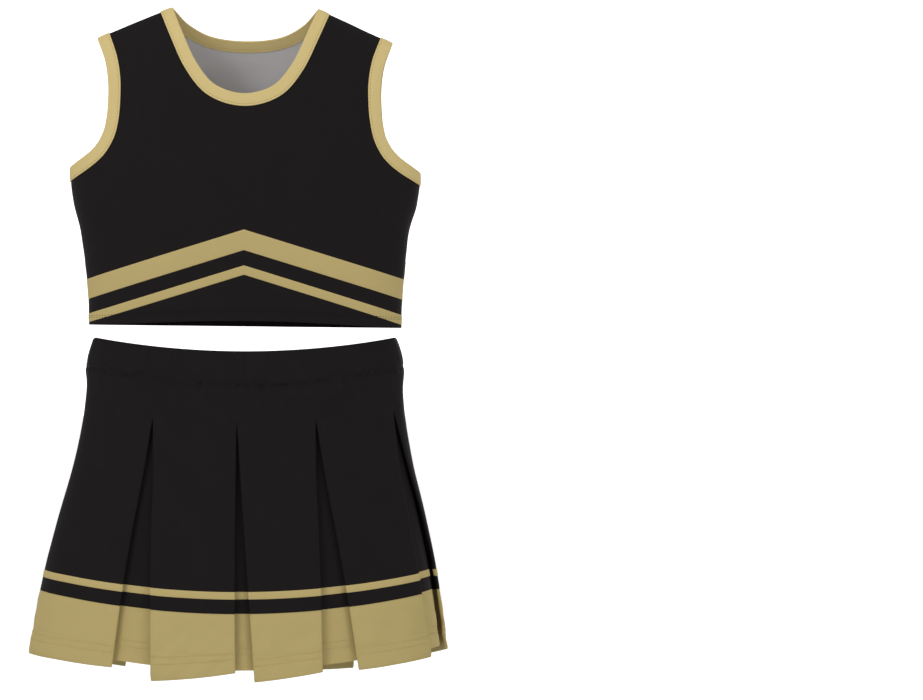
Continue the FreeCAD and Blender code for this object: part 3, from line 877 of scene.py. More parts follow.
def band_path():
    """(drop, depth) of the waistband's middle, from the outer seam over the top to the inner one."""
    middle = (CASING - CLOTH) / 2
    wall = np.linspace(0, 1, 14)
    outer_drop = BAND_HEIGHT + 0.6 - (BAND_HEIGHT + 0.6 - CASING / 2) * wall
    swell = -0.7 * np.sin(math.pi * wall) ** 0.6 + 1.5 * np.exp(-wall * 11)
    over = np.linspace(0, math.pi, 9)[1:-1]
    inner_depth = np.full(14, CASING - CLOTH / 2)
    drop = np.concatenate([outer_drop, CASING / 2 - middle * np.sin(over), outer_drop[::-1]])
    return drop, np.concatenate([CLOTH / 2 + swell, CASING / 2 - middle * np.cos(over), inner_depth])


path_drop, path_depth = band_path()
run_drop, run_depth = np.gradient(path_drop), np.gradient(path_depth)
run = np.hypot(run_drop, run_depth)
path_length = distances(np.stack([path_drop, path_depth], axis=1))
for name, first in (("front", -1), ("back", 1)):
    turns = np.linspace(first, first + 2, 241)[None, :]
    u = (turns % 4) * 185
    gathers = 0.22 * waves(u, path_drop[:, None] * 0.3, 5, 10, 16, 6)
    gathers = gathers + 0.35 * waves(u, path_drop[:, None], 6, 6, 90, 30)
    sides = []
    for half in (CLOTH / 2, -CLOTH / 2):
        drop = (path_drop - half * run_depth / run)[:, None]
        depth = (path_depth + half * run_drop / run)[:, None]
        sides.append(on_skirt(turns, np.clip(drop, 0, None), depth - gathers * (path_depth < 2)[:, None]))
    sides = [side[::-1] for side in sides]
    arc, drop = np.broadcast_arrays(u, path_length[::-1, None])
    band = cloth(f"waistband_cloth_{name}", sides, arc, drop, black_cloth, grey_reverse)
    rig.replaces(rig.slot(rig.ride(band, "skirt"), "black_knit"), f"waistband_{name}")
    half_round = full_length(on_skirt(turns[0], 14.0))
    flat = (half_round * MM, float(path_length[-1]) * MM)
    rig.sheet(band, flat=flat, held="stretched", rests_on=["waist_elastic"])
    SHEETS.append((band.name, *flat, flat[0] * flat[1]))
print("waistband walls round, mm:", round(half_round * 2))

# %% [markdown]
# ## The top's surface
#
# A sleeveless top is a tube up to the chest, and above it the cloth leans back and over to the shoulder seams.
# The same quarter turns run round it, and a rise from 0 at the hem to 1 at the seam runs up it. It could be
# simulated on a body, but there is none, so the worn shape is drawn. One shoulder hangs a little lower.
# %% Top surface
TOP_GAP = 10.5
FRONT_HEM_RISE = 4.9
NECK_POINT = (70.4, 302.5)
SHOULDER_SLOPE, SHOULDER_ROUNDING = 0.46, 25.0
CHEST_SHARE = 0.45
SHOULDER_LEAN = math.radians(82)
HEM_DEPTH, CHEST_DEPTH = 46.0, 54.0
TOP_STATIONS = [(0.0, 149.0), (45.0, 150.5), (102.0, 156.0), (136.0, 163.0), (170.0, 166.0), (330.0, 166.0)]


def shoulder_height(x):
    """Height of the shoulder line above the hem."""
    out = np.hypot(x, SHOULDER_ROUNDING) - math.hypot(NECK_POINT[0], SHOULDER_ROUNDING)
    return NECK_POINT[1] - SHOULDER_SLOPE * out


def top_profile(rise):
    """(share of the height, share of the depth) at that rise."""
    climbed = np.clip((rise - CHEST_SHARE) / (1 - CHEST_SHARE), 0, None)
    angle = SHOULDER_LEAN * climbed
    share = np.minimum(rise, CHEST_SHARE) + (1 - CHEST_SHARE) * np.sin(angle) / math.sin(SHOULDER_LEAN)
    below = smooth([(0.0, HEM_DEPTH / CHEST_DEPTH), (CHEST_SHARE, 1.0)], rise)
    return share, np.where(rise < CHEST_SHARE, below, np.cos(angle) - math.cos(SHOULDER_LEAN) * climbed)


def top_face(turns, rise):
    x, forward = ring(turns)
    share, depth = top_profile(rise)
    half_width = smooth(TOP_STATIONS, share * NECK_POINT[1])
    hem = FRONT_HEM_RISE * (1 - x * x) * np.clip(forward, 0, None) ** 2
    height = hem + share * (shoulder_height(half_width * x) - hem)
    lower = x * (2.8 * ease((height - 85) / 80) + 1.6 * np.exp(-np.clip(height, 0, None) / 14))
    return np.stack([half_width * x, -CHEST_DEPTH * depth * forward, TOP_GAP + height - lower], axis=-1)


def on_top(turns, rise, out=0.0):
    """Points at those quarter turns and rises, standing out from the cloth's surface."""
    step = 1e-3
    across = top_face(turns + step, rise) - top_face(turns - step, rise)
    up = top_face(turns, np.minimum(rise + step, 1.0)) - top_face(turns, np.maximum(rise - step, 0.0))
    normal = np.cross(across, up)
    normal[..., 1] *= ease((1 - rise) / 0.03)
    normal /= np.linalg.norm(normal, axis=-1, keepdims=True)
    return top_face(turns, rise) + normal * np.asarray(out)[..., None]


QUARTER = full_length(top_face(np.linspace(0, 1, 200), 0.35))
CLIMB = full_length(top_face(0.5, np.linspace(0, 1, 200)))
print(f"top: {QUARTER:.0f} mm from centre to side seam, {CLIMB:.0f} mm from hem to shoulder seam")

# %% [markdown]
# ## Laying the pattern on that surface
#
# A neckline is easy to draw on flat cloth and hard to draw in space. So each half of the top gets a flat
# pattern, in millimetres across and up from the middle of its hem, and a rule that carries any pattern point,
# at any height over the cloth, onto the body's shape. The seams are pulled in a little there.
# %% Pattern to body
FRONT, BACK = -1, 1
SIDES = (("left", 1), ("right", -1))


def worn(half, pattern, out=0.0):
    """Where points of the flat pattern of the front or the back are when worn."""
    u, rise = pattern[..., 0] / QUARTER, np.clip(pattern[..., 1] / CLIMB, 0, 1)
    turns = u if half == FRONT else 2 - u
    base = top_face(turns, rise)
    x, y, z = base[..., 0], base[..., 1], base[..., 2]
    uneven = 0.45 * waves(x + 0.6 * y, z + 0.5 * y, 11, 7, 170, 60)
    uneven += 0.10 * waves(x - 0.5 * y, z, 12, 6, 40, 18)
    uneven += 0.5 * waves(x + y, 0.4 * z, 13, 5, 90, 45) * np.exp(-pattern[..., 1] / 18)
    side = 0.6 * np.exp(-(((1 - np.abs(u)) * QUARTER / 1.3) ** 2))
    shoulder = 0.6 * np.exp(-(((1 - rise) * CLIMB / 1.3) ** 2))
    return on_top(turns, rise, out + uneven - side - shoulder)


def on_pattern(half, x, height):
    """The pattern point that lies at x and that height above the hem when worn."""
    share = height / NECK_POINT[1]
    for _ in range(12):
        x_unit = np.clip(np.abs(x) / smooth(TOP_STATIONS, share * NECK_POINT[1]), 0, 1)
        forward = (1 - x_unit**ROUNDNESS) ** (1 / ROUNDNESS) if half == FRONT else 0.0
        hem = FRONT_HEM_RISE * (1 - x_unit**2) * forward**2
        share = np.clip((height - hem) / (shoulder_height(x) - hem), 0, 1)
    angle = np.arcsin(np.clip((share - CHEST_SHARE) / (1 - CHEST_SHARE), 0, 1) * math.sin(SHOULDER_LEAN))
    rise = np.minimum(share, CHEST_SHARE) + (1 - CHEST_SHARE) * angle / SHOULDER_LEAN
    return np.stack([np.interp(x_unit, quarter_x, quarter_share) * np.sign(x) * QUARTER, rise * CLIMB], axis=-1)


print("height of the neck point on the pattern, mm:", round(float(on_pattern(FRONT, *NECK_POINT)[1])))

# %% Neckline and armholes
def evenly(line, spacing):
    """The line again with points evenly spaced along it."""
    along = distances(line)
    places = np.linspace(0, along[-1], max(2, round(along[-1] / spacing) + 1))
    return np.stack([np.interp(places, along, line[:, k]) for k in range(line.shape[1])], axis=1)


def drawn(points):
    """A dense smooth line through (x, height) points."""
    points = np.array(points, float)
    along = distances(points)
    places = np.linspace(0, along[-1], 600)
    return [smooth(np.stack([along, points[:, k]], axis=1), places) for k in (0, 1)]


NECK = {
    FRONT: [(70.4, 302.5), (60.0, 278.0), (46.0, 248.5), (28.0, 227.5), (0.0, 219.3)],
    BACK: [(70.4, 302.5), (55.0, 286.5), (33.0, 275.2), (0.0, 271.3)],
}
ARMHOLE = [(139.5, 272.0), (131.0, 248.0), (128.2, 222.0), (131.5, 187.0), (141.5, 167.0), (164.8, 148.5)]


def neck_line(half, spacing):
    """The neckline on the pattern, from the wearer's right shoulder to the left."""
    other = [(-x, z) for x, z in NECK[half]]
    line = on_pattern(half, *drawn(other + NECK[half][-2::-1]))
    line[[0, -1], 1] = CLIMB
    return evenly(line, spacing)


def armhole_line(half, spacing):
    """The wearer's-left armhole on the pattern, from the shoulder down to the side seam."""
    line = on_pattern(half, *drawn(ARMHOLE))
    line[0, 1] = CLIMB
    bottom = line[-1] + [QUARTER - line[-1, 0], 0]
    slope = (line[-1, 1] - line[-40, 1]) / (line[-1, 0] - line[-40, 0])
    t = np.linspace(0, 1, 30)[1:, None]
    run = bottom[0] - line[-1, 0]
    tail = line[-1] + np.concatenate([t * run, slope * run * (t - t**2 / 2)], axis=1)
    return evenly(np.concatenate([line, tail]), spacing)


print("front neckline, mm:", round(full_length(neck_line(FRONT, 2.0))))
print("armhole, mm:", round(full_length(armhole_line(FRONT, 2.0)) + full_length(armhole_line(BACK, 2.0))))

# %% [markdown]
# ## The front and the back of the top
#
# Each is one flat cut of black knit. Its outline is filled with a fine net of triangles, which is carried onto
# the body twice, for the face and for the grey reverse. Extra rows run along the hem, where the cloth is turned
# up inside, and beside the seams.
# %% Filling an outline
TURN_UP = 20.0


def fill_pattern(outline, rows, step=3.4):
    """Points and triangles that fill an outline, through the points of the extra rows and of a grid."""
    low, high = outline.min(axis=0), outline.max(axis=0)
    columns = np.arange(low[0], high[0] + step, step)
    grid = [np.stack([columns + (k % 2) * step / 2, np.full_like(columns, z)], axis=1)
            for k, z in enumerate(np.arange(low[1], high[1] + step, step * 0.87))]
    a, b = outline, np.roll(outline, -1, axis=0)

    def inside(p, margin):
        x, y = p[:, :1], p[:, 1:]
        crosses = (a[:, 1] > y) != (b[:, 1] > y)
        climb = np.where(b[:, 1] == a[:, 1], 1, b[:, 1] - a[:, 1])
        where = a[:, 0] + (y - a[:, 1]) * (b[:, 0] - a[:, 0]) / climb
        near = np.hypot(x - a[:, 0], y - a[:, 1]).min(axis=1)
        return ((crosses & (x < where)).sum(axis=1) % 2 == 1) & (near > margin)

    rows = rows[inside(rows, 0.28)]
    grid = np.concatenate(grid)
    grid = grid[inside(grid, step * 0.6)]
    clear = np.array([np.hypot(*(rows - p).T).min() > step * 0.55 for p in grid])
    points = np.concatenate([outline, rows, grid[clear]])
    vectors = [mathutils.Vector(p) for p in points]
    made = delaunay_2d_cdt(vectors, [], [list(range(len(outline)))], 1, 1e-4)
    points, triangles = np.array([tuple(p) for p in made[0]]), np.array(made[2])
    p = points[triangles]
    turn = np.cross(p[:, 1] - p[:, 0], p[:, 2] - p[:, 0])
    triangles[turn < 0] = triangles[turn < 0][:, ::-1]
    return points, triangles


def open_edges(triangles):
    """The directed edges that only one triangle has."""
    edges = np.concatenate([triangles[:, [0, 1]], triangles[:, [1, 2]], triangles[:, [2, 0]]])
    _, first, count = np.unique(np.sort(edges, axis=1), axis=0, return_index=True, return_counts=True)
    return edges[first[count == 1]]


print("the hem is turned up by", TURN_UP, "mm")

# %% Front and back panels
def top_panel(half, name):
    neck, arm = neck_line(half, 3.0), armhole_line(half, 3.0)
    mirror = np.array([-1.0, 1.0])
    hem = evenly(np.array([[-QUARTER, 0.0], [QUARTER, 0.0]]), 3.0)
    side = evenly(np.array([[QUARTER, 0.0], arm[-1]]), 3.0)
    seam = evenly(np.array([arm[0], neck[-1]]), 3.0)
    right = np.concatenate([side[:-1], arm[::-1][:-1], seam[:-1]])
    outline = np.concatenate([hem[:-1], right, neck[::-1][:-1], (right * mirror)[::-1], [[-QUARTER, 0.0]]])
    keep = np.linalg.norm(outline - np.roll(outline, 1, axis=0), axis=1) > 0.05
    outline = outline[keep]
    rows = [hem + [0, up] for up in (0.35, 0.9, 2.2, TURN_UP - 1, TURN_UP + 0.5)]
    for inward in (0.7, 1.6, 3.0):
        for row in (side - [inward, 0], seam - [0, inward]):
            rows += [row, row * mirror]
    points, triangles = fill_pattern(outline, np.concatenate(rows))
    count = len(points)
    edge = 0.45 * np.clip(1 - points[:, 1] / 0.9, 0, 1) ** 2
    turned = 0.9 * ease((TURN_UP + 0.5 - points[:, 1]) / 1.5)
    face = worn(half, points, -edge)
    reverse = worn(half, points, -CLOTH - turned + edge)
    border = open_edges(triangles)
    rim = np.concatenate([border[:, ::-1], border + count], axis=1)
    layers = [triangles, triangles[:, ::-1] + count, rim]
    if half == BACK:
        layers = [faces[:, ::-1] for faces in layers]
    plain = points[triangles, 1].mean(axis=1) > TURN_UP
    kinds = np.concatenate([np.zeros(len(triangles)), plain, np.zeros(len(rim))])
    piece = new_object(name, np.concatenate([face, reverse]), layers, [black_cloth, grey_reverse], kinds)
    add_cloth_map(piece, points[:, 0], -points[:, 1])
    first_side, second_side = (face[triangles[:, k]] - face[triangles[:, 0]] for k in (1, 2))
    area = 0.5 * np.linalg.norm(np.cross(first_side, second_side), axis=1).sum()
    flat = (2 * QUARTER * MM, float(points[:, 1].max()) * MM)
    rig.sheet(piece, flat=flat, area=float(area) * MM * MM, held="hung",
             rests_on=["shoulder_tape_left", "shoulder_tape_right"])
    SHEETS.append((name, *flat, float(area) * MM * MM))
    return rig.slot(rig.ride(piece, "top"), "black_knit")


for half, word in ((FRONT, "front"), (BACK, "back")):
    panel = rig.replaces(top_panel(half, f"crop_top_{word}"), f"top_{word}_panel")
    print(f"{word}: {len(panel.data.vertices)} points")

# %% [markdown]
# ## Bindings
#
# Neck and armholes are finished with a strip of thinner gold knit, folded over the raw edge and caught by one
# row of stitches. It could be a bent tube, but a U-shaped profile swept along the edge has the strip's real
# leaves. Where two halves meet, the profile turns to lie in the seam, so that the ends match.
# %% Binding profile
LEAF = 0.6
SEWN_GAP = 0.05
STITCH_ROW = 1.8  # from the inner edge


def binding_profile(width):
    """The closed outline of a folded binding, as (mm in from the cloth's edge, mm over the cloth's face)."""
    w = width - np.array([0, 0.15, 0.5, 1.1, 1.5, 1.8, 2.1, 2.6, 3.6])
    w = np.concatenate([w, np.linspace(width - 5, 0.6, 6)])
    pressed = 0.16 * np.exp(-(((w - width + STITCH_ROW) / 0.5) ** 2))
    crown = 0.42 + 0.24 * np.sin(math.pi * np.clip((width - w) / width, 0, 1)) - pressed
    nose = np.linspace(math.pi / 2, -math.pi / 2, 9)
    middle_w = np.concatenate([w, 0.2 - 1.05 * np.cos(nose), w[::-1]])
    nose_h = -CLOTH / 2 + (0.5 + CLOTH / 2) * np.sin(nose)
    middle_h = np.concatenate([crown, nose_h, -CLOTH - crown[::-1] * 0.8])
    run_w, run_h = np.gradient(middle_w), np.gradient(middle_h)
    size = np.hypot(run_w, run_h)
    half_leaf = LEAF / 2 * np.stack([run_h / size, -run_w / size], axis=1)
    middle = np.stack([middle_w, middle_h], axis=1)
    return np.concatenate([middle + half_leaf, (middle - half_leaf)[::-1]])


def inward_directions(half, line, first, last, blend=22.0):
    """Steps on the pattern that are 1 mm from the edge into the cloth when worn. At each end they turn to run
    along the seam there, and get longer, so that the binding keeps its width."""
    base = np.stack([line[:, 0], np.clip(line[:, 1], 0.4, CLIMB - 0.4)], axis=1)
    by_u, by_v = ((worn(half, base + step) - worn(half, base - step)) / 0.4 for step in np.eye(2) * 0.2)
    run = np.gradient(worn(half, line), axis=0)
    run /= np.linalg.norm(run, axis=1, keepdims=True)
    across = np.cross(run, np.cross(by_u, by_v))
    across /= np.linalg.norm(across, axis=1, keepdims=True)
    a, b, c = (by_u**2).sum(1), (by_u * by_v).sum(1), (by_v**2).sum(1)
    p, q = (across * by_u).sum(1), (across * by_v).sum(1)
    normal = np.stack([c * p - b * q, a * q - b * p], axis=1) / (a * c - b * b)[:, None]
    along = distances(line)
    for end, away in ((first, along), (last, along[-1] - along)):
        share = ease(away / blend)[:, None]
        reach = (across * (end[0] * by_u + end[1] * by_v)).sum(axis=1)[:, None]
        normal = normal * share + np.array(end, float) / np.clip(reach, 0.5, 2) * (1 - share)
    return normal


def swept_binding(half, name, line, inward, width, mirror=1):
    """A binding along a line of the pattern. mirror -1 makes it on the wearer's right."""
    profile = binding_profile(width)
    flip = np.array([mirror, 1.0])
    flat = (line[:, None, :] + inward[:, None, :] * profile[None, :, :1]) * flip
    along = distances(line)
    pucker = 0.07 * waves(along[:, None], profile[None, :, 0] * 0.5, 21, 8, 14, 5) * (profile[None, :, 1] > 0)
    points = worn(half, flat, profile[None, :, 1] + pucker)
    rows, cols = len(line), len(profile)
    r, c = np.meshgrid(np.arange(rows - 1), np.arange(cols), indexing="ij")
    a, b = (r * cols + c).ravel(), (r * cols + (c + 1) % cols).ravel()
    piece = new_object(name, points, np.stack([a, b, b + cols, a + cols], axis=1), [gold_binding])
    around = distances(profile)
    return add_cloth_map(piece, along[:, None] + 0 * around, around[None, :] + 0 * along[:, None])


def declare_binding(piece, node_name, length, width, panels):
    flat = (length * MM, (2 * width + 3) * MM)
    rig.sheet(piece, flat=flat, held="folded", rests_on=panels)
    SHEETS.append((piece.name, *flat, flat[0] * flat[1]))
    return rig.replaces(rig.slot(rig.ride(piece, "top"), "gold_binding"), node_name)


print("points round a binding's profile:", len(binding_profile(10.0)))

# %% Bindings on the edges
NECK_HALVES = [(FRONT, "front", 11.0), (BACK, "back", 10.0)]
ARMHOLE_WIDTH = 11.4
neck_edges, armhole_edges = {}, {}
for half in (FRONT, BACK):
    line = neck_line(half, 2.0)
    neck_edges[half] = line, inward_directions(half, line, (-1, 0), (1, 0))
    line = armhole_line(half, 2.0)
    armhole_edges[half] = line, inward_directions(half, line, (-1, 0), (0, -1))

for half, word, width in NECK_HALVES:
    line, inward = neck_edges[half]
    piece = weld(swept_binding(half, f"neck_edge_{word}", line, inward, width), SEWN_GAP, close=True)
    declare_binding(piece, f"neck_binding_{word}", full_length(line), width, [f"crop_top_{word}"])
for side, mirror in SIDES:
    parts = [swept_binding(half, f"armhole_{half}", *edge, ARMHOLE_WIDTH, mirror)
             for half, edge in armhole_edges.items()]
    round_mm = sum(full_length(line) for line, _ in armhole_edges.values())
    piece = weld(merge(f"armhole_edge_{side}", parts), SEWN_GAP, close=True)
    panels = ["crop_top_front", "crop_top_back"]
    declare_binding(piece, f"armhole_binding_{side}", round_mm, ARMHOLE_WIDTH, panels)
print("bindings:", [o.name for o in bpy.data.objects if "_edge_" in o.name])

# %% [markdown]
# ## Chevrons
#
# Two braids, one wide and one narrow, run up from each side seam to a mitred point at the centre. A texture
# could paint them, but real braid has an edge that catches light.
# %% Chevrons
def at_height(half, u, height_at):
    """Pattern points at those positions across whose height above the hem, when worn, is height_at(x)."""
    x_unit, forward = ring(u / QUARTER if half == FRONT else 2 - u / QUARTER)
    hem = FRONT_HEM_RISE * (1 - x_unit**2) * np.clip(forward, 0, None) ** 2
    share = np.full(np.broadcast(u).shape, 0.25)
    for _ in range(10):
        x = smooth(TOP_STATIONS, share * NECK_POINT[1]) * x_unit
        share = np.clip((height_at(x) - hem) / (shoulder_height(x) - hem), 0, CHEST_SHARE)
    return np.stack([u + 0 * share, share * CLIMB], axis=-1)


CHEVRONS = {"front": (FRONT, 91.5), "back": (BACK, 109.5)}
CHEVRON_SLOPE = 0.31
for word, (half, peak) in CHEVRONS.items():
    for kind, top, width in (("wide", 0.0, 19.4), ("narrow", 33.9, 8.8)):
        across = np.linspace(-QUARTER, QUARTER, 141)[:: -half]
        share = np.array([0, 0.03, 0.08, 0.36, 0.64, 0.92, 0.97, 1.0])
        tops = peak - top - share * width
        rows = [at_height(half, across, lambda x: height - CHEVRON_SLOPE * np.abs(x)) for height in tops]
        flat = np.stack(rows)
        lift = np.array([0.02, 0.22, 0.32, 0.34, 0.34, 0.32, 0.22, 0.02])[:, None] + 0 * flat[..., 0]
        sides = worn(half, flat, lift), worn(half, flat, -0.12 + 0 * lift)
        strip = cloth(f"chevron_{kind}_{word}", sides, flat[..., 0], -flat[..., 1], gold_braid)
        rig.replaces(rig.slot(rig.ride(strip, "top"), "gold_braid"), f"{kind}_chevron_{word}")
print("chevrons:", 2 * len(CHEVRONS))

# %% [markdown]
# ## Tape and elastic
#
# Two pieces are hidden but real: a stay tape inside each shoulder seam keeps the knit from stretching, and a
# band of woven elastic runs through the waistband.
# %% Tape and elastic
TAPE_SPAN = np.array([84.4, 124.0])
tape_ends = on_pattern(FRONT, TAPE_SPAN, shoulder_height(TAPE_SPAN))[:, 0]
for side, mirror in SIDES:
    across = np.linspace(*tape_ends, 30)
    halves = []
    for half in (FRONT, BACK):
        reach = np.linspace(7, 0, 8) if half == FRONT else np.linspace(0, 7, 8)[1:]
        flat = np.stack(np.broadcast_arrays(mirror * across[None, :], CLIMB - reach[:, None]), axis=-1)
        halves.append([worn(half, flat, -CLOTH - 0.15), worn(half, flat, -CLOTH - 0.75)])
    sides = [np.concatenate([halves[0][k], halves[1][k]]) for k in (0, 1)]
    arc, drop = np.broadcast_arrays(across[None, :], np.linspace(-7, 7, 15)[:, None])
    tape = weld(cloth(f"stay_tape_{side}", sides, arc, drop, grey_reverse), SEWN_GAP, close=True)
    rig.replaces(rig.slot(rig.ride(tape, "top"), "stay_tape"), f"shoulder_tape_{side}")

turns, drops = np.linspace(0, 4, 361)[None, :], np.linspace(2.6, 24.0, 12)[:, None]
ribs = 0.12 * np.cos(drops * 2 * math.pi / 3.0)
sides = on_skirt(turns, drops, 1.55 - ribs), on_skirt(turns, drops, 2.75 + ribs)
arc, drop = np.broadcast_arrays(turns * 180, drops)
elastic = weld(cloth("waist_elastic_band", sides, arc, drop, white_elastic), SEWN_GAP, close=True)
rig.replaces(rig.slot(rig.ride(elastic, "skirt"), "elastic"), "waist_elastic")
print("tape and elastic added")

# %% [markdown]
# ## Stitches
#
# Machine stitches are the detail that says cloth was sewn. Each is a short thread that dips into the cloth at
# both ends. A bump could suggest them, but real threads cast small shadows. One helper strings them along any
# line, given as points and the directions out of the cloth.
# %% A row of stitches
PITCH, STITCH_LENGTH, THREAD_RADIUS = 3.2, 2.5, 0.27
ON_CLOTH, ON_BINDING = 0.12, 0.72
TOP_HEM_STITCHES = (8.5, 10.5)


def stitches(name, lines, material):
    """One object of stitches along lines, each a pair of points and outward directions."""
    points, faces = [], []
    for line, outward in lines:
        along = distances(line)
        starts = np.arange(PITCH / 2, along[-1] - STITCH_LENGTH, PITCH)
        places = starts[:, None] + STITCH_LENGTH * np.array([0.0, 0.15, 0.5, 0.85, 1.0])
        middle = np.stack([np.interp(places, along, line[:, k]) for k in range(3)], axis=-1)
        out = np.stack([np.interp(places, along, outward[:, k]) for k in range(3)], axis=-1)
        run = np.gradient(middle, axis=1)
        run /= np.linalg.norm(run, axis=-1, keepdims=True)
        out /= np.linalg.norm(out, axis=-1, keepdims=True)
        beside = np.cross(run, out)
        middle = middle + out * np.array([-0.22, 0.02, 0.1, 0.02, -0.22])[:, None]
        size = THREAD_RADIUS * np.array([0.35, 0.9, 1.0, 0.9, 0.35])[:, None]
        sides = [middle + size * (math.cos(a) * out + math.sin(a) * beside) for a in np.arange(6) * math.pi / 3]
        first = sum(len(p) for p in points)
        points.append(np.stack(sides, axis=2).reshape(-1, 3))
        s, r, k = np.meshgrid(np.arange(len(starts)), np.arange(4), np.arange(6), indexing="ij")
        a = (first + s * 30 + r * 6 + k).ravel()
        b = (first + s * 30 + r * 6 + (k + 1) % 6).ravel()
        faces.append(np.stack([a, b, b + 6, a + 6], axis=1))
        base = first + np.arange(len(starts))[:, None] * 30
        faces += [base + np.arange(5, -1, -1), base + np.arange(24, 30)]
    piece = new_object(name, np.concatenate(points), faces, [material])
    total = len(piece.data.vertices)
    return add_cloth_map(piece, np.arange(total) % 6 * 0.3, np.arange(total) // 6 * 0.6)


print("stitches are", STITCH_LENGTH, "mm long and start every", PITCH, "mm")

# %% Stitches on the pleats
def hem_rows(rows, index, foot, skip):
    """The stitch lines above a skirt piece's foot, without the stretch that is folded behind it."""
    for up in HEM_STITCHES:
        (face, reverse), _, _ = rows(index, foot - up + np.array([-0.5, 0.5]))
        out = (face - reverse)[0] / CLOTH
        yield ((face[0] + face[1]) / 2 + out * ON_CLOTH)[skip:-skip], out[skip:-skip]


for index, name in enumerate(PANELS):
    piece = stitches(f"hem_stitches_{name}", hem_rows(panel_rows, index, SKIRT_LENGTH, 10), gold_thread)
    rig.slot(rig.ride(piece, f"panel_{name}"), "gold_knit")
for index, name in enumerate(PLEATS):
    rows = hem_rows(underlay_rows, index, UNDERLAY_LENGTHS[index], 9)
    piece = stitches(f"underlay_stitches_{name}", rows, gold_thread)
    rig.slot(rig.ride(piece, f"underlay_{name}"), "gold_knit")
print("hem stitches:", len(PANELS) + len(PLEATS), "objects")

# %% Stitches on the top and the waist
def sewn(half, flat, height):
    """A stitch line along pattern points, that far over the cloth."""
    line = worn(half, flat, height + 0 * flat[..., 0])
    return line, worn(half, flat, height + 1 + 0 * flat[..., 0]) - line


for half, word, width in NECK_HALVES:
    hem = evenly(np.array([[-QUARTER + 2, 0.0], [QUARTER - 2, 0.0]]), 2.0)
    rows = [sewn(half, hem + [0, up], ON_CLOTH) for up in TOP_HEM_STITCHES]
    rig.slot(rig.ride(stitches(f"top_hem_stitches_{word}", rows, black_thread), "top"), "black_knit")
    line, inward = neck_edges[half]
    row = sewn(half, line + inward * (width - STITCH_ROW), ON_BINDING)
    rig.slot(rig.ride(stitches(f"neck_stitches_{word}", [row], gold_thread), "top"), "gold_binding")
for side, mirror in SIDES:
    rows = [sewn(half, (line + inward * (ARMHOLE_WIDTH - STITCH_ROW)) * [mirror, 1.0], ON_BINDING)
            for half, (line, inward) in armhole_edges.items()]
    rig.slot(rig.ride(stitches(f"armhole_stitches_{side}", rows, gold_thread), "top"), "gold_binding")

turns, row_drop = np.linspace(0, 4, 900), BAND_HEIGHT + 2.6
drape = skirt_drape(turns, row_drop)
foot = on_skirt(turns, row_drop, -drape - 0.1)
out = foot - on_skirt(turns, row_drop, 1 - drape)
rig.slot(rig.ride(stitches("waist_stitches", [(foot, out)], black_thread), "skirt"), "black_knit")
print("stitch objects:", sum("stitches" in o.name for o in bpy.data.objects))
for name, width, length, area in SHEETS:
    print(f"sheet {name}: {width / MM:.0f} by {length / MM:.0f} mm, {area * 1e4:.0f} cm2")

# %% [markdown]
# ## Light, floor and camera
#
# Black cloth shows its folds only where light grazes it, so two wide soft lamps stand to the sides, a third
# hangs above and a fourth lights the back. The lens is long, which flattens the view. The floor and the white
# room belong to the studio. The room is seen but casts no light itself; the lamps and a dim white world light the
# cloth.
# %% Lamps
def lamp(name, place, width, height, watts):
    data = bpy.data.lights.new(name, "AREA")
    data.shape, data.size, data.size_y, data.energy = "RECTANGLE", width, height, watts
    made = bpy.data.objects.new(name, data)
    made.location = place
    made.rotation_euler = (-mathutils.Vector(place)).to_track_quat("-Z", "Y").to_euler()
    bpy.context.scene.collection.objects.link(made)
    return made


lamp("key", (-1.5, -2.0, 1.2), 1.0, 1.4, 21)
lamp("fill", (1.8, -1.7, 0.4), 1.0, 1.4, 8)
lamp("top light", (0, -0.3, 2.0), 1.4, 1.0, 4)
lamp("back key", (1.3, 2.2, 0.9), 1.2, 1.4, 12)

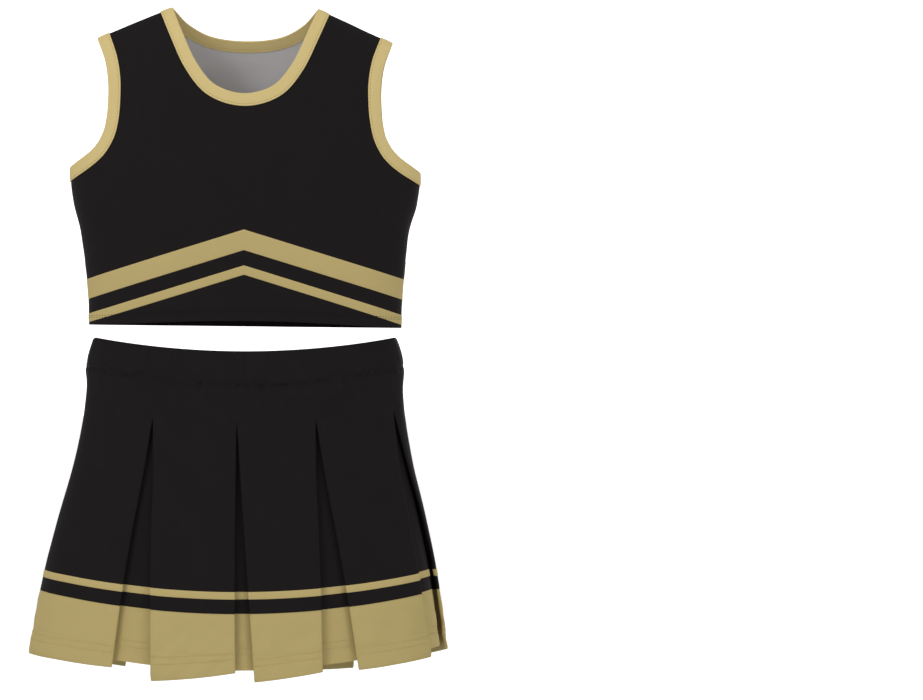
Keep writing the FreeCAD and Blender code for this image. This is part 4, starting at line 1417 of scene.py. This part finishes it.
sky = bpy.data.worlds.new("studio")
bpy.context.scene.world = sky
sky.use_nodes = True
sky.node_tree.nodes["Background"].inputs[0].default_value = (1.0, 1.0, 1.0, 1)
sky.node_tree.nodes["Background"].inputs[1].default_value = 0.5
print("lamps:", sum(o.type == "LIGHT" for o in bpy.data.objects))

# %% Floor and room
FLOOR = -0.37


def bright(name, colour, strength):
    material = bpy.data.materials.new(name)
    material.use_nodes = True
    shader = material.node_tree.nodes["Principled BSDF"]
    shader.inputs["Base Color"].default_value = (*colour, 1)
    shader.inputs["Roughness"].default_value = 0.9
    shader.inputs["Emission Color"].default_value = (*colour, 1)
    shader.inputs["Emission Strength"].default_value = strength
    return material


bpy.ops.mesh.primitive_circle_add(vertices=96, radius=40.0, fill_type="NGON", location=(0, 0, FLOOR))
floor = bpy.context.object
floor.name = "studio_floor"
floor.data.materials.append(bright("pale floor", (0.9, 0.9, 0.9), 0.62))
bpy.ops.mesh.primitive_uv_sphere_add(segments=48, ring_count=24, radius=40.0, location=(0, 0, 0))
room = bpy.context.object
room.name = "studio_room"
room.data.materials.append(bright("white room", (1.0, 1.0, 1.0), 1.0))
floor.visible_diffuse = room.visible_diffuse = room.visible_glossy = room.visible_shadow = False
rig.stage(floor, room)
print("floor at", FLOOR, "m")

# %% Camera
VIEW_WIDTH = 0.872
lens = bpy.data.cameras.new("camera")
lens.lens, lens.sensor_width = 350, 36
camera = bpy.data.objects.new("camera", lens)
camera.location = (0.2056, -0.05 - VIEW_WIDTH * lens.lens / lens.sensor_width, -0.0119)
camera.rotation_euler = (math.pi / 2, 0, 0)
bpy.context.scene.collection.objects.link(camera)
bpy.context.scene.camera = camera
bpy.context.scene.view_settings.view_transform = "Standard"
print("camera", round(-camera.location.y, 2), "m away")

# %% [markdown] ## Finish  The size of the finished piece is written beside that of the CAD model, so that
# the two can be compared.
full_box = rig.bounds()
with open("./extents.json", "w") as out:
    boxes = {"cad": [list(corner) for corner in cad_box], "visual": [list(corner) for corner in full_box]}
    json.dump(boxes, out)
print("finished box:", [round(v, 4) for corner in full_box for v in corner])
